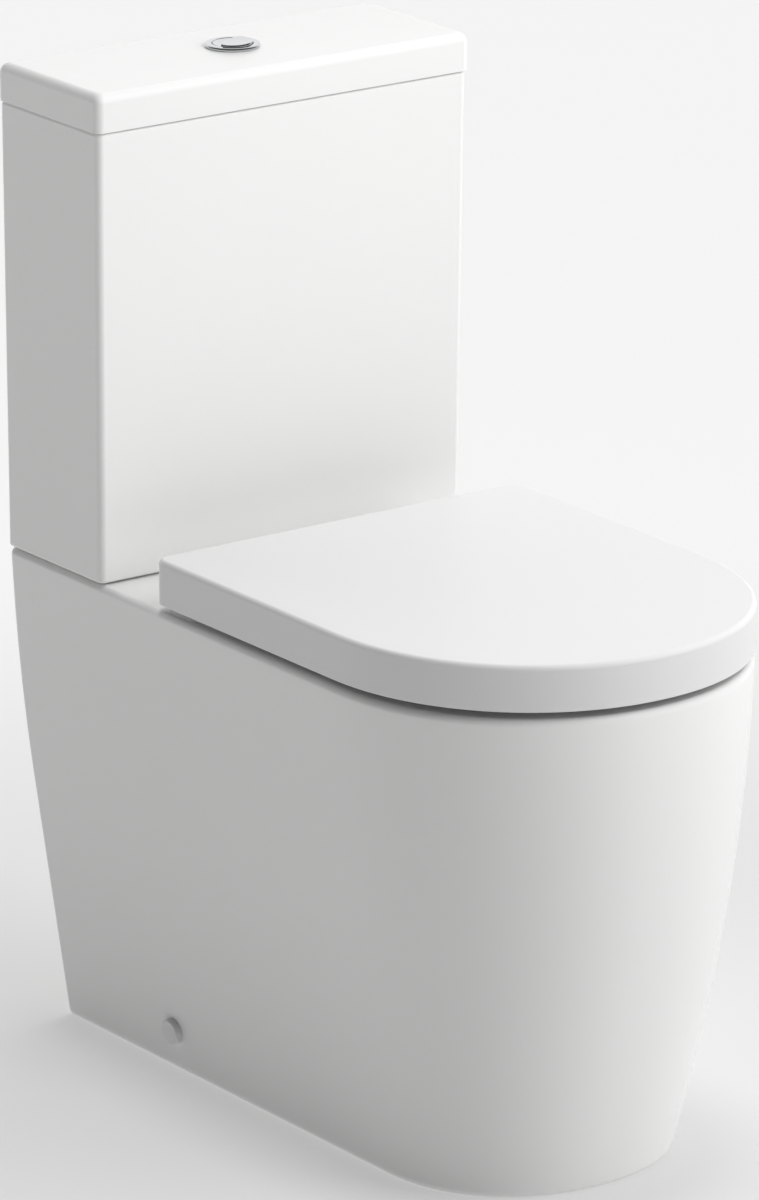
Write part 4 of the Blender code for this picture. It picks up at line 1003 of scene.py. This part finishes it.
def make_flush_valve():
    seal_top, flange, seat = [FLOOR_Z + rise for rise in SEAL_Z]
    thread_end, tail_end = VALVE_TAIL
    base = [(0.0380, seat - 0.001), (0.0380, flange), (0.0270, flange)]
    base += threads(0.0270, flange - 0.002, thread_end, 0.0030, 0.0010)
    base += [(0.0260, tail_end), (0.0220, tail_end), (0.0220, seat - 0.001)]
    base += [(0.0228, seat), (0.0250, seat), (0.0260, seat - 0.001)]
    body = turned("valve_base", base, on_valve(), closed=True, steps=FINE_STEPS)
    piece(soften(body, 0.0003, 2), ["flush_valve_base"], ROOT, "white_plastic")
    sealing = washer("valve_floor_washer", 0.040, 0.0275, FLOOR_Z + GAP, seal_top, on_valve(), FINE_STEPS)
    piece(soften(sealing, 0.0006), ["flush_valve_washer"], ROOT, "rubber")
    nut = washer("valve_backnut", 0.038, 0.0274, 0.4075, TANK_Z - GAP, on_valve(), FINE_STEPS)
    cut(nut, *grips(16, 0.0392, 0.0030, on_valve(), 0.40, 0.4145))
    piece(soften(nut, 0.0004, 2, 40), ["flush_valve_backnut"], ROOT, "white_plastic")
    top, bottom = TANK_Z - GAP, RECESS_Z + GAP
    doughnut = [(0.0455, top), (0.0470, TANK_Z - 0.0025), (0.0470, RECESS_Z + 0.0025), (0.0455, bottom)]
    doughnut += [(0.0280, bottom), (0.0280, COUPLING_Z), (0.0385, COUPLING_Z), (0.0385, top)]
    ring = turned("coupling_doughnut", doughnut, on_valve(), closed=True, steps=FINE_STEPS)
    piece(soften(ring, 0.0008), ["close_coupling_washer"], ROOT, "rubber")
    make_tower()
    make_lifting_parts()


def make_lifting_parts():
    foot = low("flush_valve_seal")
    profile = [(0.0280, foot + 0.0030), (0.0276, foot + 0.0004), (0.0260, foot), (0.0133, foot)]
    profile += [(0.0133, foot + 0.0040), (0.0180, foot + 0.0040), (0.0200, foot + 0.0032)]
    seal = turned("lifting_seal", profile, on_valve(), closed=True)
    piece(seal, ["flush_valve_seal"], "flush_valve_lift", "red_seal")
    node = "flush_valve_overflow_tube"
    top = high(node)
    profile = [(0.0130, top), (0.0130, top - 0.010), (0.0124, top - 0.012)]
    profile += [(0.0124, foot + 0.010), (0.0130, foot + 0.008)]
    profile += [(0.0130, foot), (0.0110, foot), (0.0110, top - 0.002), (0.0118, top)]
    tube = turned("overflow_tube", profile, on_valve(), closed=True)
    piece(tube, [node], "flush_valve_lift", "grey_plastic")
    bottom, top = low("half_flush_float"), high("half_flush_float")
    cup = [(0.0280, top), (0.0280, bottom), (0.0262, bottom), (0.0262, top - 0.004), (0.0155, top - 0.004)]
    cup += [(0.0155, bottom), (0.0135, bottom), (0.0135, top)]
    float_cup = turned("half_float_cup", cup, on_valve(), closed=True, steps=FINE_STEPS)
    piece(soften(float_cup, 0.0006, 3), ["half_flush_float"], "half_flush_float", "grey_plastic")


def make_tower():
    """Cage of the flush valve, with water windows below and slender columns above."""
    foot = low("flush_valve_tower")
    top = TOWER_TOP_Z
    collar, waist = 0.0340, 0.0328
    profile = [(0, top), (0.0335, top), (collar, top - 0.0006), (collar, top - 0.014), (waist, top - 0.015)]
    profile += [(waist, 0.513), (collar, 0.512), (collar, 0.504), (waist, 0.503)]
    profile += [(waist, foot + 0.005), (collar, foot + 0.004), (collar, foot), (0.0315, foot)]
    profile += [(0.0315, top - 0.004), (0, top - 0.004)]
    cage = turned("valve_tower", profile, on_valve(), steps=FINE_STEPS)
    holes = []
    for start, end, half in TOWER_WINDOWS:
        for wide, deep in ((0.05, half), (half, 0.05)):
            corner = (-wide, out(VALVE_OUT) - deep, start)
            holes.append(soften(box("window", corner, (wide, out(VALVE_OUT) + deep, end)), 0.004, 4))
    cut(cage, *holes, *rod_holes(0.0032, TOWER_TOP_Z, 32))
    piece(cage, ["flush_valve_tower"], ROOT, "white_plastic")


def lever_cylinder(name, radius, half, sides=32):
    """Cylinder on the float lever's axis, this far to each side of the valve."""
    y = out(FILL_OUT)
    return cylinder(name, radius, (LEVER_X, y - half, LEVER_Z), (LEVER_X, y + half, LEVER_Z), sides)


def make_fill_body(here):
    top = HEAD_TOP_Z - 0.035
    seal_top, flange, _ = [FLOOR_Z + rise for rise in SEAL_Z]
    thread_end, tail_end = FILL_TAIL
    groove = RISER_R - 0.0006
    body = [(RISER_R, top)]
    for i in range(5):
        z = top - 0.050 - 0.030 * i
        body += [(groove, z + 0.002), (RISER_R, z), (RISER_R, z - 0.004), (groove, z - 0.006)]
    body += [(RISER_R, flange + 0.010), (RISER_R, flange + 0.0033)]
    body += [(0.0170, flange + 0.0033), (0.0170, flange), (0.0094, flange)]
    body += threads(0.0102, flange - 0.001, thread_end, 0.0018, 0.0008)
    body += [(0.0094, tail_end), (0.0050, tail_end), (0.0050, top)]
    riser = turned("fill_riser", body, here, closed=True)
    piece(riser, ["fill_valve_body"], ROOT, "white_plastic", sharp=40)
    sealing = washer("fill_floor_washer", 0.017, 0.0106, FLOOR_Z + GAP, seal_top, here)
    piece(soften(sealing, 0.0005), ["fill_valve_washer"], ROOT, "rubber")
    nut = hex_nut("fill_backnut", 0.017, 0.0106, 0.4085, TANK_Z - GAP, here)
    piece(nut, ["fill_valve_backnut"], ROOT, "white_plastic")


def make_fill_head(here):
    top, foot = HEAD_TOP_Z, HEAD_TOP_Z - 0.0347
    profile = [(0, top), (0.0155, top), (0.0175, top - 0.002), (0.0175, foot + 0.022)]
    profile += [(0.0180, foot + 0.021), (0.0180, foot + 0.001), (0.0170, foot), (0, foot)]
    head = turned("fill_head", profile, here)
    cut(head, *grips(18, 0.0192, 0.0018, here, foot + 0.004, foot + 0.018, 16))
    ears = []
    for sign in (-1, 1):
        edges = sorted((sign * 0.0050, sign * 0.0080))
        start = (LEVER_X - 0.0045, here[1] + edges[0], top - 0.004)
        end = (LEVER_X + 0.0045, here[1] + edges[1], LEVER_Z + 0.0045)
        ears.append(soften(box("ear", start, end), 0.0012, 3))
    join(head, *ears)
    cut(head, lever_cylinder("bore", LEVER_BORE_R, 0.02))
    piece(head, ["fill_valve_head"], ROOT, "white_plastic")


def make_fill_lever(here):
    pin = soften(lever_cylinder("lever_pin", 0.0015, 0.009), 0.0003)
    piece(pin, ["fill_valve_lever_pin"], ROOT, "steel")
    lever = lever_cylinder("float_lever", 0.0040, 0.0046, 48)
    arm = ((LEVER_X, here[1] - 0.004, LEVER_Z - 0.002), (LINK_X + 0.004, here[1] + 0.004, LEVER_Z + 0.002))
    join(lever, soften(box("arm", *arm), 0.0015, 3))
    corner = (LEVER_X + 0.008, here[1] - 0.0022, LEVER_Z + 0.0004)
    channel = box("channel", corner, (LINK_X, here[1] + 0.0022, LEVER_Z + 0.004))
    cut(lever, lever_cylinder("bore", LEVER_BORE_R, 0.02), channel)
    piece(soften(lever, 0.0003, 2, 50), ["fill_valve_lever"], "fill_lever", "grey_plastic")


def make_fill_float(here):
    bottom, top = low("fill_valve_float"), high("fill_valve_float")
    cup = [(0.026, top - 0.002), (0.026, bottom), (0.0242, bottom), (0.0242, top - 0.005)]
    cup += [(0.0145, top - 0.005), (0.0145, bottom), (0.0125, bottom), (0.0125, top), (0.024, top)]
    float_cup = turned("fill_float_cup", cup, here, closed=True, steps=FINE_STEPS)
    lug = ((FILL_X + 0.022, here[1] - 0.005, top - 0.006), (LINK_X + 0.004, here[1] + 0.005, top - 0.001))
    join(float_cup, soften(box("lug", *lug), 0.0015, 3))
    piece(float_cup, ["fill_valve_float"], "fill_float", "grey_plastic")
    start, end = low("fill_valve_link"), high("fill_valve_link")
    link = cylinder("fill_link_rod", 0.0015, (LINK_X, here[1], start), (LINK_X, here[1], end), 24)
    piece(soften(link, 0.0004), ["fill_valve_link"], "fill_float", "steel")


def make_fill_valve():
    here = (FILL_X, out(FILL_OUT), 0)
    for make in (make_fill_body, make_fill_head, make_fill_lever, make_fill_float):
        make(here)


def make_tank_fixing(side, sign):
    here = (sign * BOLT_X, out(VALVE_OUT), 0)
    head = FLOOR_Z + 0.0046
    thread_end, tail_end = BOLT_TAIL
    profile = [(0, head + 0.006), (0.0070, head + 0.0056), (0.0083, head + 0.003), (0.0085, head)]
    profile += [(0.0036, head)] + threads(STUD_R, head - 0.018, thread_end, 0.00125, 0.0005)
    profile += [(0.0028, tail_end), (0, tail_end)]
    bolt = turned(side + "_coupling_bolt", profile, here)
    corner = (here[0] - RUN_OUT, here[1] - 0.0008, head + 0.0040)
    slot = box("slot", corner, (here[0] + RUN_OUT, here[1] + 0.0008, head + RUN_OUT))
    piece(cut(bolt, slot), [side + "_tank_bolt"], ROOT, "steel")
    bore, bottom, top = STUD_R + GAP, FLOOR_Z + GAP, head - GAP
    profile = [(0.0115, top), (0.0130, head - 0.0018), (0.0130, bottom), (bore, bottom), (bore, top)]
    seal = soften(turned(side + "_bolt_seal", profile, here, closed=True), 0.0004)
    piece(seal, [side + "_tank_bolt_seal"], ROOT, "rubber")
    pad = washer(side + "_under_washer", 0.012, bore, PAD_LOW_Z, DECK_LOW_Z - GAP, here)
    piece(soften(pad, 0.0005), [side + "_tank_bolt_washer"], ROOT, "rubber")
    top, bottom = NUT_TOP_Z, DECK_LOW_Z - 0.016
    profile = [(bore, top), (0.0080, top), (0.0080, top - 0.004), (0.0068, top - 0.008), (bore, bottom)]
    hub = turned(side + "_wing_nut", profile + [(0.0062, bottom)], here, closed=True)
    if signed_volume(hub.data) < 0:
        hub.data.flip_normals()
    wings = []
    for edge in (-1, 1):
        ends = sorted((here[1] + edge * 0.0060, here[1] + edge * 0.019))
        corner = (here[0] - 0.0015, ends[0], DECK_LOW_Z - 0.017)
        wing = box("wing", corner, (here[0] + 0.0015, ends[1], DECK_LOW_Z - 0.006))
        wings.append(soften(wing, 0.0014, 3))
    piece(join(hub, *wings), [side + "_tank_wing_nut"], ROOT, "white_plastic")


def signed_volume(mesh):
    """Negative for a mesh whose faces point inwards."""
    bm = bmesh.new()
    bm.from_mesh(mesh)
    volume = bm.calc_volume(signed=True)
    bm.free()
    return volume


# ---- seat ----


def seat_outline(z, inset=0.0, back_out=None):
    back = SEAT_BACK_OUT + inset if back_out is None else back_out
    front, curve = SEAT_FRONT_OUT - inset, SEAT_CURVE - inset
    corner = max(SEAT_CORNER_R - inset, 0.003)
    return d_outline(SEAT_HALF - inset, back, front, curve, SEAT_POWER, corner, z)


def hinge_cylinder(name, radius, x0, x1, sides=48):
    start = (x0, out(HINGE_OUT), HINGE_Z)
    return cylinder(name, radius, start, (x1, out(HINGE_OUT), HINGE_Z), sides)


def ear(inner, sign, low_out, high_out, low_z, high_z):
    """Hinge ear: a round barrel and the web that ties it in."""
    ends = sorted((sign * inner, sign * (inner + EAR_WIDTH)))
    barrel = hinge_cylinder("barrel", BARREL_R - 0.0002, *ends)
    web = box("web", (ends[0] + 0.0002, out(high_out), low_z), (ends[1] - 0.0002, out(low_out), high_z))
    return [soften(barrel, 0.0006), web]


def pin_bores():
    """Cutters for both hinge pins, long enough for either piece's ears."""
    return [hinge_cylinder("bore", PIN_BORE_R, *sorted((sign * 0.05, sign * 0.11))) for sign in (-1, 1)]


def make_seat_lid():
    rings = [seat_outline(SEAT_LOW_Z + drop, inset) for inset, drop in reversed(quarter(0.001, 4))]
    rings += [seat_outline(SEAT_TOP_Z - drop, inset) for inset, drop in quarter(SEAT_EDGE_R)]
    lid = loft("lid_shell", rings)
    hollow = [seat_outline(z, SEAT_WALL) for z in (SEAT_LOW_Z - RUN_OUT, SEAT_PLATE_Z - SEAT_HOLLOW_R)]
    for inset, drop in quarter(SEAT_HOLLOW_R, 6)[1:]:
        hollow.append(seat_outline(SEAT_PLATE_Z - drop, SEAT_WALL + inset))
    near, far = out(SEAT_BACK_OUT + SEAT_WALL + 0.0015), out(SEAT_BACK_OUT - 0.006)
    half, relief_top = RELIEF
    relief = box("relief", (-half, near, SEAT_LOW_Z - RUN_OUT), (half, far, relief_top))
    cutters = [loft("lid_hollow", hollow), relief]
    for sign in (-1, 1):
        ends = sorted(sign * x for x in NOTCH)
        corner = (ends[0], near, SEAT_LOW_Z - 0.012)
        cutters.append(box("notch", corner, (ends[1], far + 0.001, SEAT_PLATE_Z + 0.0005)))
    cut(lid, *cutters)
    inner = HINGE_X - POST_HALF - GAP - EAR_WIDTH
    ears = []
    for sign in (-1, 1):
        ears += ear(inner, sign, HINGE_OUT - WEB_HALF, HINGE_OUT + WEB_HALF, HINGE_Z, SEAT_PLATE_Z + 0.002)
    join(lid, *ears)
    cut(lid, *pin_bores())
    piece(lid, ["seat_lid"], "seat_lid", "seat_plastic")


def make_seat_ring():
    def ring_outline(z, inset):
        return seat_outline(z, RING_INSET + inset, RING_BACK_OUT + inset)

    rings = [ring_outline(RING_LOW_Z + drop, inset) for inset, drop in reversed(quarter(0.0015, 4))]
    rings += [ring_outline(RING_TOP_Z - drop, inset) for inset, drop in quarter(RING_EDGE_R)]
    seat = loft("ring_body", rings)
    hole = [bowl_ring(*HOLE, RING_LOW_Z - RUN_OUT, 0.010), bowl_ring(*HOLE, RING_LOW_Z + 0.002, 0.0)]
    hole += [bowl_ring(*HOLE, RING_TOP_Z - drop, flare) for flare, drop in quarter(HOLE_R)]
    hole.append(bowl_ring(*HOLE, RING_TOP_Z + RUN_OUT, 0.014))
    cut(seat, loft("seat_hole", hole))
    inner = HINGE_X + POST_HALF + GAP
    ears = []
    for sign in (-1, 1):
        ears += ear(inner, sign, HINGE_OUT, RING_BACK_OUT + 0.006, HINGE_Z - WEB_HALF, HINGE_Z + WEB_HALF)
    join(seat, *ears)
    cut(seat, *pin_bores())
    piece(seat, ["seat_ring"], "seat_ring", "seat_plastic")


def make_buffers():
    for node in sorted(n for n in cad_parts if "_buffer_" in n):
        start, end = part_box(node)
        middle = (start + end) / 2
        radius = (end.x - start.x) / 2
        tall = end.z - start.z
        profile = [(0, tall), (radius, tall), (radius, SOLE_R + 0.0008)]
        for i in range(6):
            angle = math.pi / 2 * i / 6
            profile.append((radius * math.cos(angle) * 0.985, SOLE_R * (1 - math.sin(angle))))
        profile.append((0, 0))
        pad = turned(node.replace("buffer", "pad"), profile, (middle.x, middle.y, start.z))
        body = "seat_ring" if node.startswith("ring") else "seat_lid"
        piece(soften(pad, 0.0004, 3), [node], body, "buffer_rubber")


def make_hinge(side, sign):
    here = (sign * HINGE_X, out(HINGE_OUT))
    bottom = DECK_Z + GAP
    foot = [(0, bottom + 0.004), (0.0135, bottom + 0.004), (0.0150, bottom + 0.0025)]
    foot += [(0.0150, bottom), (0, bottom)]
    post = turned(side + "_hinge_stand", foot, (*here, 0), steps=FINE_STEPS)
    ends = (sign * HINGE_X - POST_HALF, sign * HINGE_X + POST_HALF)
    corner = (ends[0] + 0.0005, here[1] - POST_DEPTH_HALF, bottom + 0.002)
    neck = box("neck", corner, (ends[1] - 0.0005, here[1] + POST_DEPTH_HALF, HINGE_Z))
    join(post, neck, hinge_cylinder("barrel", BARREL_R, *ends, sides=64))
    bore = hinge_cylinder("bore", PIN_BORE_R, ends[0] - RUN_OUT, ends[1] + RUN_OUT)
    stud = cylinder("stud", STUD_R + GAP, (*here, bottom - RUN_OUT), (*here, STUD_BORE_Z))
    piece(soften(cut(post, bore, stud), 0.0004, 3, 40), [side + "_hinge_post"], ROOT, "chrome")
    pin_ends = sorted((sign * (HINGE_X - PIN_HALF), sign * (HINGE_X + PIN_HALF)))
    pin = soften(hinge_cylinder(side + "_pivot_pin", PIN_R, *pin_ends), 0.0006)
    piece(pin, [side + "_hinge_pin"], ROOT, "steel")
    top, shank_end, thread_top, thread_end, tail_end = STUD_Z
    profile = [(0, top), (0.0034, top), (0.0034, shank_end)]
    profile += threads(STUD_R, thread_top, thread_end, 0.00125, 0.0005) + [(0.0028, tail_end), (0, tail_end)]
    piece(turned(side + "_hinge_stud", profile, (*here, 0)), [side + "_hinge_bolt"], ROOT, "steel")
    pad = washer(side + "_hinge_rubber", 0.014, STUD_R + GAP, PAD_LOW_Z, DECK_LOW_Z - GAP, (*here, 0))
    piece(soften(pad, 0.0005), [side + "_hinge_washer"], ROOT, "rubber")
    nut = hex_nut(side + "_hinge_hex", 0.012, STUD_R + GAP, DECK_LOW_Z - 0.014, NUT_TOP_Z, (*here, 0))
    piece(nut, [side + "_hinge_nut"], ROOT, "white_plastic")


make_camera()
finishes = {name: surface(name, *values) for name, values in FINISHES.items()}
make_studio()
make_pan()
make_tank()
make_cistern_lid()
make_bezel()
make_button("full", FULL_ROD, 0.0006)
make_button("half", HALF_ROD, 0.0004)
make_flush_valve()
make_fill_valve()
make_seat_lid()
make_seat_ring()
make_buffers()
for part_side, part_sign in (("left", -1), ("right", 1)):
    make_side_fixing(part_side, part_sign)
    make_tank_fixing(part_side, part_sign)
    make_hinge(part_side, part_sign)

bpy.context.view_layer.update()
